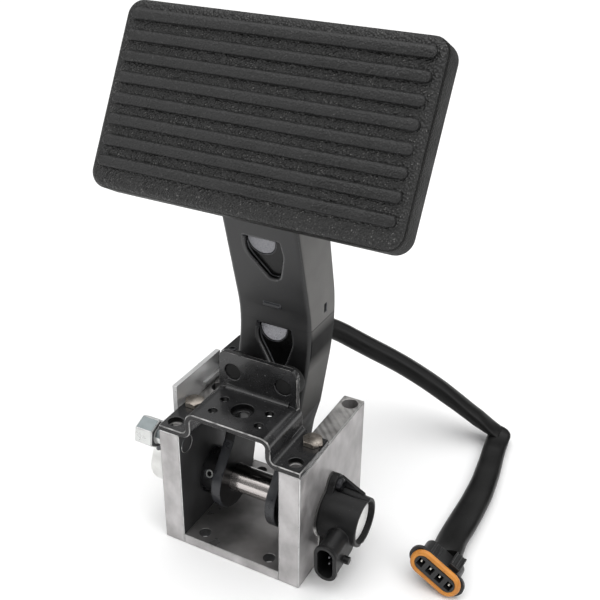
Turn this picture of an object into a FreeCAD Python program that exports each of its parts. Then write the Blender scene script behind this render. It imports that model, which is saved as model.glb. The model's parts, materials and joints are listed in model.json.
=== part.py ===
import FreeCAD, Part
import math
import os

# Sizes in mm. X runs along the pivot shaft, +Y away from the driver, +Z up.
# The origin is the centre of the four base holes on the underside of the base.

# Aluminium box
box_width = 86.5
box_depth = 78.3
plate_thickness = 12.7
plate_height = 75.0
base_thickness = 6.0
base_hole_diameter = 6.6
base_hole_spacing_x = 42.0
base_hole_spacing_y = 64.0
base_screw_diameter = 3.0
base_screw_head = 5.4
base_screw_length = 24.0
base_screw_rear_y = 12.0
base_screw_spacing = 18.0
top_hole_diameter = 9.0
top_hole_depth = 18.0
right_top_hole_y = 33.0
left_top_hole_y = 12.2

# Pivot
pivot_y = -7.15
pivot_z = 31.4
shaft_diameter = 15.9
shaft_end_diameter = 12.0
shaft_left_reach = 18.0
shaft_right_reach = 6.0
bush_diameter = 20.0
collar_diameter = 28.0
collar_end_gap = 0.4
set_screw_diameter = 5.0
set_screw_recess = 0.6
set_screw_angle = 153.0

# Sheet bracket over the box, with the upright stop
sheet = 3.2
bracket_height = 17.0
flange_depth = 32.5
stop_setback = 32.0
crown_width = 52.0
bend_radius = 2.8
stop_width = 48.0
stop_height = 22.0
stop_corner = 4.0
stop_bend_width = 39.0
flange_hole_diameter = 8.0
flange_hole_setback = 7.2
left_flange_hole_depth = 2.0
bracket_bolt_setback = 26.0
bracket_bolt_diameter = 6.0
bracket_bolt_head = 10.0
bracket_bolt_head_height = 3.0
bracket_bolt_length = 18.0
crown_hole_diameter = 12.4
crown_hole_setback = 16.6
small_hole_diameter = 4.6
small_hole_spacing_x = 27.6
small_hole_setbacks = (9.3, 21.0)
weld_nut_head = 17.0
weld_nut_height = 6.5
weld_nut_bore = 8.2

# Rubber bumpers behind the stop
bumper_diameter = 17.0
bumper_spacing = 31.0
bumper_height = 10.5
bumper_round = 3.0
bumper_stem_diameter = 9.6
bumper_stem_recess = 0.9
bumper_gap = 0.3

# Pedal arm, a channel with its open side to the rear
arm_width = 44.2
arm_wall = 5.6
arm_bend_y = 14.6
arm_bend_z = 120.4
arm_depth = 29.2
arm_rear_bend_rise = 2.6
lower_lean = 21.2
upper_lean = 14.7
upper_rear_lean = 12.5
front_bend_radius = 64.0
rear_bend_radius = 80.0
lobe_radius = 18.5
notch_z = 58.0
lever_width = 41.0
lever_wall = 6.2
joggle_low_z = 66.0
joggle_high_z = 77.0
web_bottom_z = 80.0
gusset_drop = 52.1
gusset_top_up = 12.0
arm_edge_radius = 2.6
pocket_depth = 3.2
pocket_top_width = 20.0
pocket_mid_width = 22.0
pocket_low_width = 6.0
pocket_low_shift = 4.0
pocket_mid_drop = 8.5
pocket_drop = 23.8
pocket_round = 11.0
pocket_low_round_share = 0.6
upper_pocket_top_z = 182.4
lower_pocket_top_z = 125.6
eye_radius = 8.2
eye_flat = 2.5
eye_offset = 2.2
tab_width = 10.0
tab_height = 2.0
tab_depth = 1.4
tab_z = 140.3
slit_y = 28.6
slit_z = 135.2
slit_width = 2.2
slit_length = 5.0
inner_plate_setback = 6.0
inner_plate_thickness = 2.0
inner_plate_low_z = 98.0
inner_plate_high_z = 188.0
boss_setback = 3.5

# Foot pad
pedal_height = 290.3
pad_y = -8.75
pad_tilt = 28.55
pad_width = 169.6
pad_length = 95.8
pad_thickness = 18.0
pad_corner = 9.0
pad_edge = 3.8
ridge_count = 8
ridge_pitch = 10.5
ridge_rise = 2.6
ridge_length = 159.3
ridge_width = 6.2
ridge_height = 2.2
backing_width = 154.0
backing_length = 80.0
backing_thickness = 4.0
backing_corner = 6.0
backing_gap = 0.2

# Return spring, its cup and its anchor bolt
cup_diameter = 32.0
cup_length = 20.2
cup_wall = 1.6
spring_wire = 2.4
spring_coil = 19.6
spring_pitch = 3.2
spring_turns = 4.0
spring_start = 3.8
spring_leg_overhang = 4.5
spring_leg_gap = 0.8
arbor_gap = 1.0
anchor_y = -31.4
anchor_z = 64.9
anchor_bolt_diameter = 10.0
anchor_head = 15.0
anchor_head_height = 11.2
anchor_head_gap = 5.6
anchor_head_turn = 8.3

# Position sensor on the right plate
gasket_thickness = 1.0
gasket_diameter = 31.0
sensor_flange_thickness = 4.0
sensor_length = 23.4
sensor_base_diameter = 29.6
sensor_end_diameter = 27.6
sensor_bore = 22.0
sensor_end_wall = 3.0
sensor_screw_spacing = 34.0
sensor_screw_lean = 14.0
sensor_ear_radius = 5.6
ear_root_inset = 1.5
sensor_screw_diameter = 4.0
sensor_screw_head = 7.4
sensor_screw_head_height = 2.8
sensor_screw_length = 14.0
rib_thickness = 3.0
rib_offset = 5.0
rib_reach = 14.0
label_recess = 3.6
label_recess_diameter = 23.6
label_diameter = 22.8
label_thickness = 0.4
rotor_diameter = 16.0
rotor_length = 12.0
rotor_gap = 0.6
socket_pitch = 3.0
socket_drop = 7.55
socket_reach = 30.3
socket_width = 11.9
socket_height = 22.7
socket_wall = 1.6
socket_depth = 14.0
socket_setback = 13.15
nub_reach = 19.0
nub_drop = 3.8
nub_diameter = 4.4
nub_length = 3.2
pin_size = 1.5
pin_pitch = 4.6
pin_length = 9.0
pin_count = 3

# Stop switch and its bracket on the left plate
strap_thickness = 3.0
strap_front_y = -20.6
strap_rear_y = 24.0
strap_low_z = 56.0
strap_rise = 16.7
ledge_front_y = 5.0
ledge_width = 1.8
ledge_gap = 2.6
ledge_thickness = 2.8
shelf_rear_y = 45.0
strap_screw_z = 62.0
strap_screw_front_y = -1.0
strap_screw_spacing = 20.5
strap_screw_diameter = 5.0
strap_screw_head = 9.0
strap_screw_head_height = 2.6
strap_screw_length = 12.0
switch_width = 12.4
switch_height = 10.6
switch_front_gap = 0.5
switch_screw_diameter = 3.0
switch_screw_head = 5.4
switch_screw_head_height = 1.8
switch_screw_spacing = 14.0
gland_diameter = 17.0
gland_length = 8.0

# Cable sleeve
cable_diameter = 13.6
cable_lift = 0.5
cable_plug_run = 5.0
cable_arc_share = 0.45

# Plug at the far end of the cable
plug_x = 107.8
plug_y = -6.7
plug_lift = 0.35
plug_heading = -4.7
plug_roll = 26.0
plug_pitch = 15.0
plug_long = 25.4
plug_short = 8.4
plug_body_length = 15.0
plug_nose = 5.0
flange_long = 34.6
flange_short = 12.0
flange_thickness = 2.5
seal_long = 31.0
seal_short = 14.6
seal_thickness = 3.5
terminal_pitch = 6.2
terminal_count = 4
cavity_width = 3.6
cavity_height = 4.6
cavity_depth = 8.0
terminal_thickness = 1.6
terminal_width = 2.0
terminal_recess = 2.0
lock_length = 13.5
lock_width = 6.3
lock_height = 4.0
lock_offset = 6.1
lock_setback = 0.3

# Fits
thread_gap = 0.05
slip_gap = 0.04
hole_gap = 0.3

# Two places closer than this are the same
tiny = 1e-6

# Places worked out from the sizes
plate_outer_x = box_width / 2
plate_inner_x = plate_outer_x - plate_thickness
front_y = -box_depth / 2
rear_y = box_depth / 2
plate_mid_x = plate_outer_x - plate_thickness / 2
arm_half = arm_width / 2
arm_inner_half = arm_half - arm_wall
lever_half = lever_width / 2
lever_inner_half = lever_half - lever_wall
shaft_radius = shaft_diameter / 2
shaft_end_radius = shaft_end_diameter / 2
pad_z = pedal_height - pad_length / 2 * math.cos(math.radians(pad_tilt))
gusset_z = pad_z - gusset_drop
stop_front_y = front_y + stop_setback
stop_rear_y = stop_front_y + sheet
crown_z = plate_height + bracket_height
bumper_z = crown_z + bumper_height
shelf_low_z = plate_height + ledge_gap
shelf_z = shelf_low_z + ledge_thickness
sensor_end_x = plate_outer_x + sensor_length
label_x = sensor_end_x - label_recess
sensor_flange_x = plate_outer_x + gasket_thickness
sensor_body_x = sensor_flange_x + sensor_flange_thickness
socket_x = plate_outer_x + socket_setback + gasket_thickness
switch_x = -plate_outer_x + switch_width / 2
gland_z = shelf_z + switch_height - gland_diameter / 2
cable_radius = cable_diameter / 2


def vec(x, y, z):
    return FreeCAD.Vector(x, y, z)


def block(x0, x1, y0, y1, z0, z1):
    return Part.makeBox(x1 - x0, y1 - y0, z1 - z0, vec(x0, y0, z0))


def rod_x(x0, x1, y, z, radius):
    return Part.makeCylinder(radius, x1 - x0, vec(x0, y, z), vec(1, 0, 0))


def rod_y(x, y0, y1, z, radius):
    return Part.makeCylinder(radius, y1 - y0, vec(x, y0, z), vec(0, 1, 0))


def rod_z(x, y, z0, z1, radius):
    return Part.makeCylinder(radius, z1 - z0, vec(x, y, z0))


def prism_x(points, x0, x1):
    corners = [vec(x0, y, z) for y, z in points]
    return Part.Face(Part.makePolygon(corners + corners[:1])).extrude(vec(x1 - x0, 0, 0))


def prism_y(points, y0, y1):
    corners = [vec(x, y0, z) for x, z in points]
    return Part.Face(Part.makePolygon(corners + corners[:1])).extrude(vec(0, y1 - y0, 0))


def prism_z(points, z0, z1):
    corners = [vec(x, y, z0) for x, y in points]
    return Part.Face(Part.makePolygon(corners + corners[:1])).extrude(vec(0, 0, z1 - z0))


def straight_edges(solid, direction, test):
    found = []
    for edge in solid.Edges:
        if edge.Curve.TypeId == "Part::GeomLine":
            run = edge.Vertexes[-1].Point - edge.Vertexes[0].Point
            if run.cross(direction).Length < tiny * run.Length and test(edge.CenterOfMass):
                found.append(edge)
    return found


def round_corners(solid, direction, radius, test=lambda point: True):
    return solid.makeFillet(radius, straight_edges(solid, direction, test))


def stadium(long, short, z0, z1):
    half_run = (long - short) / 2
    middle = block(-half_run, half_run, -short / 2, short / 2, z0, z1)
    ends = [rod_z(side * half_run, 0, z0, z1, short / 2) for side in (-1, 1)]
    return middle.fuse(ends).removeSplitter()


def hexagon(across_flats, z0, z1, turn=0):
    corner = across_flats / math.sqrt(3)
    angles = [math.radians(60 * step + turn) for step in range(6)]
    return prism_z([(corner * math.cos(a), corner * math.sin(a)) for a in angles], z0, z1)


def set_along(shape, point, axis):
    shape = shape.copy()
    shape.Placement = FreeCAD.Placement(point, FreeCAD.Rotation(vec(0, 0, 1), axis))
    return shape


def pan_screw(diameter, head, head_height, length):
    crown = rod_z(0, 0, 0, head_height, head / 2)
    crown = crown.makeFillet(head_height / 2, [crown.Edges[0]])
    return crown.fuse(rod_z(0, 0, -length, 0, diameter / 2)).removeSplitter()


def hex_bolt(diameter, head, head_height, length, turn=0):
    return hexagon(head, 0, head_height, turn).fuse(rod_z(0, 0, -length, 0, diameter / 2)).removeSplitter()


def both(make):
    return Part.makeCompound([make(-1), make(1)])


def base_screw_places():
    ys = (base_screw_rear_y, base_screw_rear_y - base_screw_spacing)
    return [(side, y) for side in (-1, 1) for y in ys]


def countersunk(diameter, head, length):
    slope = (head - diameter) / 2
    cone = Part.makeCone(diameter / 2, head / 2, slope, vec(0, 0, -slope))
    return cone.fuse(rod_z(0, 0, -length, -slope, diameter / 2)).removeSplitter()


def base_screw(side, y, gap):
    screw = countersunk(base_screw_diameter + 2 * gap, base_screw_head + 2 * gap, base_screw_length + gap)
    return set_along(screw, vec(side * plate_outer_x, y, base_thickness / 2), vec(side, 0, 0))


def sensor_screw_places():
    lean = math.radians(sensor_screw_lean)
    half = sensor_screw_spacing / 2
    return [
        (pivot_y + side * half * math.sin(lean), pivot_z + side * half * math.cos(lean))
        for side in (-1, 1)
    ]


def strap_screw_places():
    return [(strap_screw_front_y + step * strap_screw_spacing, strap_screw_z) for step in (0, 1)]


def side_plate(side):
    inner, outer = sorted((side * plate_inner_x, side * plate_outer_x))
    plate = block(inner, outer, front_y, rear_y, 0, plate_height)
    cuts = [rod_x(inner, outer, pivot_y, pivot_z, bush_diameter / 2 + thread_gap)]
    tapped = bracket_bolt_diameter / 2 + thread_gap
    bolt_low_z = plate_height + sheet - bracket_bolt_length - hole_gap
    flange_hole_low_z = bolt_low_z if side > 0 else plate_height - left_flange_hole_depth
    for setback, low_z in ((flange_hole_setback, flange_hole_low_z), (bracket_bolt_setback, bolt_low_z)):
        cuts.append(rod_z(side * plate_mid_x, front_y + setback, low_z, plate_height, tapped))
    top_hole_y = right_top_hole_y if side > 0 else left_top_hole_y
    top_hole_low_z = plate_height - top_hole_depth
    cuts.append(rod_z(side * plate_mid_x, top_hole_y, top_hole_low_z, plate_height, top_hole_diameter / 2))
    cuts += [base_screw(side, y, thread_gap) for place, y in base_screw_places() if place == side]
    if side > 0:
        radius = sensor_screw_diameter / 2 + thread_gap
        reach = sensor_screw_length - sensor_flange_thickness - gasket_thickness + hole_gap
        cuts += [rod_x(outer - reach, outer, y, z, radius) for y, z in sensor_screw_places()]
    else:
        radius = strap_screw_diameter / 2 + thread_gap
        reach = strap_screw_length - strap_thickness + hole_gap
        cuts += [rod_x(inner, inner + reach, y, z, radius) for y, z in strap_screw_places()]
        cuts.append(rod_x(inner, outer, anchor_y, anchor_z, anchor_bolt_diameter / 2 + thread_gap))
    return plate.cut(cuts)


def base_plate():
    plate = block(-plate_inner_x, plate_inner_x, front_y, rear_y, 0, base_thickness)
    half_x = base_hole_spacing_x / 2
    half_y = base_hole_spacing_y / 2
    radius = base_hole_diameter / 2
    holes = [rod_z(x, y, 0, base_thickness, radius) for x in (-half_x, half_x) for y in (-half_y, half_y)]
    return plate.cut(holes + [base_screw(side, y, thread_gap) for side, y in base_screw_places()])


def base_screws():
    return Part.makeCompound([base_screw(side, y, 0) for side, y in base_screw_places()])


def top_bracket():
    half = crown_width / 2
    low = plate_height
    right = [(plate_outer_x, low), (plate_outer_x, low + sheet), (half, low + sheet), (half, crown_z)]
    inside = [(half - sheet, crown_z - sheet), (half - sheet, low)]
    outline = right + [(-x, z) for x, z in reversed(right)]
    outline += [(-x, z) for x, z in reversed(inside)] + inside
    hat = prism_y(outline, front_y, stop_rear_y)
    along = vec(0, 1, 0)
    outer = bend_radius + sheet
    hat = round_corners(hat, along, outer, lambda p: abs(p.z - crown_z) < tiny)
    hat = round_corners(hat, along, bend_radius, lambda p: abs(p.z - crown_z + sheet) < tiny)
    hat = round_corners(
        hat, along, bend_radius, lambda p: abs(abs(p.x) - half) < tiny and abs(p.z - low - sheet) < tiny
    )
    hat = round_corners(
        hat, along, outer, lambda p: abs(abs(p.x) - half + sheet) < tiny and abs(p.z - low) < tiny
    )
    trims = [
        block(x0, x1, front_y + flange_depth, stop_rear_y, low, low + sheet)
        for x0, x1 in ((-plate_outer_x, -half - bend_radius), (half + bend_radius, plate_outer_x))
    ]
    stop = block(
        -stop_width / 2, stop_width / 2, stop_front_y, stop_rear_y, crown_z - sheet / 2, crown_z + stop_height
    )
    stop = round_corners(stop, along, stop_corner, lambda p: p.z > crown_z)
    half_bend = stop_bend_width / 2
    bend_y = stop_front_y - bend_radius
    bend_z = crown_z + bend_radius
    bend = block(-half_bend, half_bend, bend_y, stop_front_y, crown_z - sheet / 2, bend_z)
    bend = bend.cut(rod_x(-half_bend, half_bend, bend_y, bend_z, bend_radius))
    holes = [
        rod_z(0, front_y + crown_hole_setback, low, crown_z + sheet, crown_hole_diameter / 2),
    ]
    for side in (-1, 1):
        for setback in small_hole_setbacks:
            x = side * small_hole_spacing_x / 2
            holes.append(rod_z(x, front_y + setback, crown_z - sheet, crown_z, small_hole_diameter / 2))
        x = side * plate_mid_x
        holes.append(rod_z(x, front_y + flange_hole_setback, low, low + sheet, flange_hole_diameter / 2))
        bolt_hole = bracket_bolt_diameter / 2 + hole_gap
        holes.append(rod_z(x, front_y + bracket_bolt_setback, low, low + sheet, bolt_hole))
        stem_hole = bumper_stem_diameter / 2 + slip_gap
        holes.append(rod_y(side * bumper_spacing / 2, stop_front_y, stop_rear_y, bumper_z, stem_hole))
    return hat.fuse([stop, bend]).removeSplitter().cut(trims + holes)


def bracket_bolts():
    bolt = hex_bolt(bracket_bolt_diameter, bracket_bolt_head, bracket_bolt_head_height, bracket_bolt_length)
    seat_z = plate_height + sheet
    y = front_y + bracket_bolt_setback
    return both(lambda side: set_along(bolt, vec(side * plate_mid_x, y, seat_z), vec(0, 0, 1)))


def bracket_weld_nut():
    low = crown_z - sheet - weld_nut_height
    nut = hexagon(weld_nut_head, low, crown_z - sheet)
    nut = nut.cut(rod_z(0, 0, low, crown_z, weld_nut_bore / 2))
    nut.translate(vec(0, front_y + crown_hole_setback, 0))
    return nut


def lean_shift(drop, degrees):
    return drop * math.tan(math.radians(degrees))


def web_front_y(z):
    if z < arm_bend_z:
        return arm_bend_y - lean_shift(arm_bend_z - z, lower_lean)
    return arm_bend_y - lean_shift(z - arm_bend_z, upper_lean)


def stop_bumper(side):
    x = side * bumper_spacing / 2
    touch_y = web_front_y(bumper_z - bumper_diameter / 2) - bumper_gap
    head = rod_y(x, stop_rear_y, touch_y, bumper_z, bumper_diameter / 2)
    rim = [edge for edge in head.Edges if edge.CenterOfMass.y > touch_y - tiny]
    head = head.makeFillet(bumper_round, rim)
    stem = rod_y(x, stop_front_y + bumper_stem_recess, stop_rear_y, bumper_z, bumper_stem_diameter / 2)
    return head.fuse(stem).removeSplitter()


def bush(side):
    inner, outer = sorted((side * plate_inner_x, side * plate_outer_x))
    sleeve = rod_x(inner, outer, pivot_y, pivot_z, bush_diameter / 2)
    return sleeve.cut(rod_x(inner, outer, pivot_y, pivot_z, shaft_radius + slip_gap))


def pivot_shaft():
    left = -plate_outer_x - shaft_left_reach
    right = plate_outer_x + shaft_right_reach
    middle = rod_x(-plate_outer_x, plate_outer_x, pivot_y, pivot_z, shaft_radius)
    return middle.fuse(rod_x(left, right, pivot_y, pivot_z, shaft_end_radius)).removeSplitter()


def set_screw_axis():
    angle = math.radians(set_screw_angle)
    return vec(0, math.cos(angle), math.sin(angle))


def set_screw_base(side):
    collar_x = side * (lever_half + plate_inner_x - collar_end_gap) / 2
    return vec(collar_x, pivot_y, pivot_z) + set_screw_axis() * (shaft_radius + slip_gap)


def collar(side):
    inner, outer = sorted((side * lever_half, side * (plate_inner_x - collar_end_gap)))
    ring = rod_x(inner, outer, pivot_y, pivot_z, collar_diameter / 2)
    bore = rod_x(inner, outer, pivot_y, pivot_z, shaft_radius + slip_gap)
    hole_radius = set_screw_diameter / 2 + thread_gap
    hole = Part.makeCylinder(hole_radius, collar_diameter, set_screw_base(side), set_screw_axis())
    return ring.cut([bore, hole])


def collar_set_screws():
    length = collar_diameter / 2 - shaft_radius - slip_gap - set_screw_recess
    radius = set_screw_diameter / 2
    return both(lambda side: Part.makeCylinder(radius, length, set_screw_base(side), set_screw_axis()))


def pad_frame():
    return FreeCAD.Placement(vec(0, pad_y, pad_z), FreeCAD.Rotation(vec(1, 0, 0), 90 - pad_tilt))


def on_pad_back(up):
    point = pad_frame().multVec(vec(0, up, -pad_thickness))
    return (point.y, point.z)


def arm_top_front():
    foot_y, foot_z = on_pad_back(0)
    slope = math.tan(math.radians(pad_tilt))
    lean = math.tan(math.radians(upper_lean))
    z = (arm_bend_y + arm_bend_z * lean - foot_y + foot_z * slope) / (slope + lean)
    return (web_front_y(z), z)


def lobe_tangent(point, side):
    run = math.hypot(point[0] - pivot_y, point[1] - pivot_z)
    angle = math.atan2(point[1] - pivot_z, point[0] - pivot_y) + side * math.acos(lobe_radius / run)
    return (pivot_y + lobe_radius * math.cos(angle), pivot_z + lobe_radius * math.sin(angle))


def arm_blank():
    rear_bend = (arm_bend_y + arm_depth, arm_bend_z + arm_rear_bend_rise)
    notch = (web_front_y(notch_z), notch_z)
    heel = (rear_bend[0] - lean_shift(rear_bend[1] - notch_z, lower_lean), notch_z)
    gusset = (rear_bend[0] - lean_shift(gusset_z - rear_bend[1], upper_rear_lean), gusset_z)
    front_bend = (arm_bend_y, arm_bend_z)
    outline = [
        (pivot_y, pivot_z), lobe_tangent(notch, 1), notch, front_bend, arm_top_front(),
        on_pad_back(gusset_top_up), gusset, rear_bend, heel, lobe_tangent(heel, -1),
    ]
    blank = prism_x(outline, -arm_half, arm_half)
    along = vec(1, 0, 0)
    for corner, radius in ((front_bend, front_bend_radius), (rear_bend, rear_bend_radius)):
        blank = round_corners(
            blank, along, radius, lambda p: math.hypot(p.y - corner[0], p.z - corner[1]) < tiny
        )
    blank = blank.fuse(rod_x(-arm_half, arm_half, pivot_y, pivot_z, lobe_radius)).removeSplitter()
    top_z = arm_top_front()[1]
    front_edges = [
        edge for edge in blank.Edges
        if abs(abs(edge.CenterOfMass.x) - arm_half) < tiny
        and notch_z < edge.CenterOfMass.z < top_z
        and edge.CenterOfMass.y < arm_bend_y + arm_wall
    ]
    return blank.makeFillet(arm_edge_radius, front_edges)


def behind_web(x0, x1, near, far, z0, z1):
    points = []
    for depth in (near, far):
        side = []
        for z in (z0, arm_bend_z, z1):
            lean = lower_lean if z < arm_bend_z else upper_lean
            side.append((web_front_y(z) + depth / math.cos(math.radians(lean)), z))
        points += side if depth == near else side[::-1]
    layer = prism_x(points, x0, x1)
    for depth in (near, far):
        y = arm_bend_y + depth / math.cos(math.radians(upper_lean))
        layer = round_corners(
            layer, vec(1, 0, 0), front_bend_radius - depth,
            lambda p: math.hypot(p.y - y, p.z - arm_bend_z) < tiny,
        )
    return layer


def lever_outline(half, lever_half_width, top_z):
    side = [(lever_half_width, 0), (lever_half_width, joggle_low_z), (half, joggle_high_z), (half, top_z)]
    return side + [(-x, z) for x, z in reversed(side)]


def pocket_cut(top_z):
    mid_z = top_z - pocket_mid_drop
    low_z = top_z - pocket_drop
    corners = [
        (pocket_low_shift + pocket_low_width / 2, low_z), (pocket_mid_width / 2, mid_z),
        (pocket_top_width / 2, top_z), (-pocket_top_width / 2, top_z),
        (-pocket_mid_width / 2, mid_z), (pocket_low_shift - pocket_low_width / 2, low_z),
    ]
    pocket = prism_y(corners, front_y, arm_bend_y + arm_wall)
    along = vec(0, 1, 0)
    low_round = pocket_low_width * pocket_low_round_share
    pocket = round_corners(pocket, along, low_round, lambda p: abs(p.z - low_z) < tiny)
    pocket = round_corners(pocket, along, pocket_round, lambda p: abs(p.z - mid_z) < tiny)
    reach = behind_web(-arm_half, arm_half, -arm_wall, pocket_depth, web_bottom_z, arm_top_front()[1])
    return pocket.common(reach)


def web_eye(top_z, gap):
    far_y = arm_bend_y + arm_wall * 2
    near_y = front_y
    disc = rod_y(-eye_offset, near_y, far_y, top_z - eye_flat, eye_radius - gap)
    return disc.cut(block(-arm_half, arm_half, near_y, far_y, top_z - gap, top_z + eye_radius))


def pedal_arm():
    top_z = on_pad_back(gusset_top_up)[1] + arm_wall
    rear = arm_bend_y + arm_depth * 2
    arm = arm_blank().common(prism_y(lever_outline(arm_half, lever_half, top_z), front_y, rear))
    shift = arm_wall / math.cos(math.radians(lower_lean))
    hollow = prism_x(
        [
            (front_y, 0), (front_y, web_bottom_z), (web_front_y(web_bottom_z) + shift, web_bottom_z),
            (arm_bend_y + shift, arm_bend_z), (web_front_y(top_z) + shift, top_z), (rear, top_z), (rear, 0),
        ],
        -arm_half, arm_half,
    )
    hollow = round_corners(
        hollow, vec(1, 0, 0), front_bend_radius,
        lambda p: math.hypot(p.y - arm_bend_y - shift, p.z - arm_bend_z) < tiny,
    )
    hollow = hollow.common(prism_y(lever_outline(arm_inner_half, lever_inner_half, top_z), front_y, rear))
    cuts = [hollow, rod_x(-arm_half, arm_half, pivot_y, pivot_z, shaft_radius + slip_gap)]
    for top_z in (upper_pocket_top_z, lower_pocket_top_z):
        cuts += [pocket_cut(top_z), web_eye(top_z, 0)]
    slit = block(
        arm_inner_half, arm_half, slit_y - slit_width / 2, slit_y + slit_width / 2,
        slit_z - slit_length / 2, slit_z + slit_length / 2,
    )
    tab = block(
        -tab_width / 2, tab_width / 2, web_front_y(tab_z) - tab_depth, web_front_y(tab_z) + arm_wall / 2,
        tab_z - tab_height / 2, tab_z + tab_height / 2,
    )
    return arm.cut(cuts + [slit]).fuse(tab).removeSplitter()


def arm_inner_plate():
    far = inner_plate_setback + inner_plate_thickness
    sheet_span = (inner_plate_low_z, inner_plate_high_z)
    plate = behind_web(-arm_inner_half, arm_inner_half, inner_plate_setback, far, *sheet_span)
    # Two raised bosses stand in the eyes of the web
    raised = behind_web(-arm_inner_half, arm_inner_half, boss_setback, far, *sheet_span)
    bosses = [raised.common(web_eye(top_z, hole_gap)) for top_z in (upper_pocket_top_z, lower_pocket_top_z)]
    return plate.fuse(bosses).removeSplitter()


def pad_slab(width, length, corner, z0, z1):
    slab = block(-width / 2, width / 2, -length / 2, length / 2, z0, z1)
    return round_corners(slab, vec(0, 0, 1), corner)


def pad_rubber():
    face_z = -ridge_height
    body = pad_slab(pad_width, pad_length, pad_corner, -pad_thickness, face_z)
    body = body.makeFillet(pad_edge, [edge for edge in body.Edges if edge.CenterOfMass.z > face_z - tiny])
    recess = pad_slab(
        backing_width + 2 * backing_gap, backing_length + 2 * backing_gap, backing_corner + backing_gap,
        -pad_thickness, backing_thickness - pad_thickness,
    )
    first = ridge_rise - ridge_pitch * (ridge_count - 1) / 2
    ridges = []
    for row in range(ridge_count):
        ridge = stadium(ridge_length, ridge_width, face_z - ridge_height, 0)
        ridge.translate(vec(0, first + row * ridge_pitch, 0))
        ridges.append(ridge)
    pad = body.cut(recess).fuse(ridges).removeSplitter()
    pad.Placement = pad_frame()
    return pad


def pad_backing_plate():
    plate = pad_slab(
        backing_width, backing_length, backing_corner, -pad_thickness, backing_thickness - pad_thickness
    )
    plate.Placement = pad_frame()
    return plate


def spring_leg_run():
    offset = spring_coil / 2 + (anchor_bolt_diameter + spring_wire) / 2 + hole_gap
    reach = math.hypot(anchor_y - pivot_y, anchor_z - pivot_z)
    return math.acos(offset / reach), math.sqrt(reach ** 2 - offset ** 2) + spring_leg_overhang


def spring_frame():
    turn = math.atan2(anchor_z - pivot_z, anchor_y - pivot_y) - spring_leg_run()[0]
    outward = vec(0, math.cos(turn), math.sin(turn))
    axis = vec(-1, 0, 0)
    placed = FreeCAD.Placement()
    placed.Rotation = FreeCAD.Rotation(outward, axis.cross(outward), axis, "XYZ")
    placed.Base = vec(-plate_outer_x - spring_start, pivot_y, pivot_z)
    return placed


def spring_cup():
    outer = -plate_outer_x
    end = outer - cup_length
    cup = rod_x(end, outer, pivot_y, pivot_z, cup_diameter / 2)
    hollow = rod_x(end + cup_wall, outer, pivot_y, pivot_z, cup_diameter / 2 - cup_wall)
    half = spring_wire / 2 + spring_leg_gap
    slot = block(spring_coil / 2 - half, spring_coil / 2 + half, -cup_diameter, 0, -spring_start, half)
    slot.Placement = spring_frame()
    return cup.cut([hollow, slot])


def return_spring():
    coil_radius = spring_coil / 2
    helix = Part.makeHelix(spring_pitch, spring_pitch * spring_turns, coil_radius)
    start = vec(coil_radius, 0, 0)
    along = vec(0, 2 * math.pi * coil_radius, spring_pitch).normalize()
    leg_end = start - along * spring_leg_run()[1]
    path = Part.Wire([Part.makeLine(leg_end, start)] + helix.Edges)
    ring = Part.Wire(Part.makeCircle(spring_wire / 2, leg_end, along))
    spring = path.makePipeShell([ring], True, False)
    spring.Placement = spring_frame()
    return spring


def spring_arbor():
    start = -plate_outer_x - shaft_left_reach
    end = -plate_outer_x - arbor_gap
    radius = (spring_coil - spring_wire) / 2 - hole_gap
    sleeve = rod_x(start, end, pivot_y, pivot_z, radius)
    return sleeve.cut(rod_x(start, end, pivot_y, pivot_z, shaft_end_radius + slip_gap))


def spring_anchor_bolt():
    length = anchor_head_gap + plate_thickness
    bolt = hex_bolt(anchor_bolt_diameter, anchor_head, anchor_head_height, length, anchor_head_turn)
    return set_along(bolt, vec(-plate_outer_x - anchor_head_gap, anchor_y, anchor_z), vec(-1, 0, 0))


def ear_outline(x0, x1, radius):
    middle = rod_x(x0, x1, pivot_y, pivot_z, radius)
    shape = middle
    for y, z in sensor_screw_places():
        ear = rod_x(x0, x1, y, z, sensor_ear_radius)
        run = math.hypot(y - pivot_y, z - pivot_z)
        side_y = (z - pivot_z) / run
        side_z = -(y - pivot_y) / run
        wide = radius - ear_root_inset
        narrow = sensor_ear_radius
        corners = [
            (pivot_y + wide * side_y, pivot_z + wide * side_z),
            (y + narrow * side_y, z + narrow * side_z),
            (y - narrow * side_y, z - narrow * side_z),
            (pivot_y - wide * side_y, pivot_z - wide * side_z),
        ]
        web = prism_x(corners, x0, x1)
        shape = shape.fuse([ear, web])
    return shape.removeSplitter()


def socket_frame():
    pitch = math.radians(socket_pitch)
    up = vec(0, -math.sin(pitch), math.cos(pitch))
    out = vec(0, -math.cos(pitch), -math.sin(pitch))
    origin = vec(socket_x, pivot_y, pivot_z) - up * socket_drop
    placed = FreeCAD.Placement()
    placed.Rotation = FreeCAD.Rotation(up, vec(1, 0, 0) * -1, out, "XYZ")
    placed.Base = origin
    return placed


def in_socket(shape):
    shape = shape.copy()
    shape.Placement = socket_frame().multiply(shape.Placement)
    return shape


def sensor_ribs():
    ribs = []
    lean = -sensor_screw_lean
    for turn in (lean, lean + 180):
        top = sensor_screw_spacing / 2 + sensor_ear_radius / 2
        rib = prism_y(
            [
                (sensor_flange_x, 0), (sensor_flange_x, top), (sensor_body_x, top),
                (sensor_body_x + rib_reach, sensor_end_diameter / 2), (sensor_body_x + rib_reach, 0),
            ],
            rib_offset - rib_thickness / 2, rib_offset + rib_thickness / 2,
        )
        rib.rotate(vec(0, 0, 0), vec(1, 0, 0), turn)
        rib.translate(vec(0, pivot_y, pivot_z))
        ribs.append(rib)
    return ribs


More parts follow.
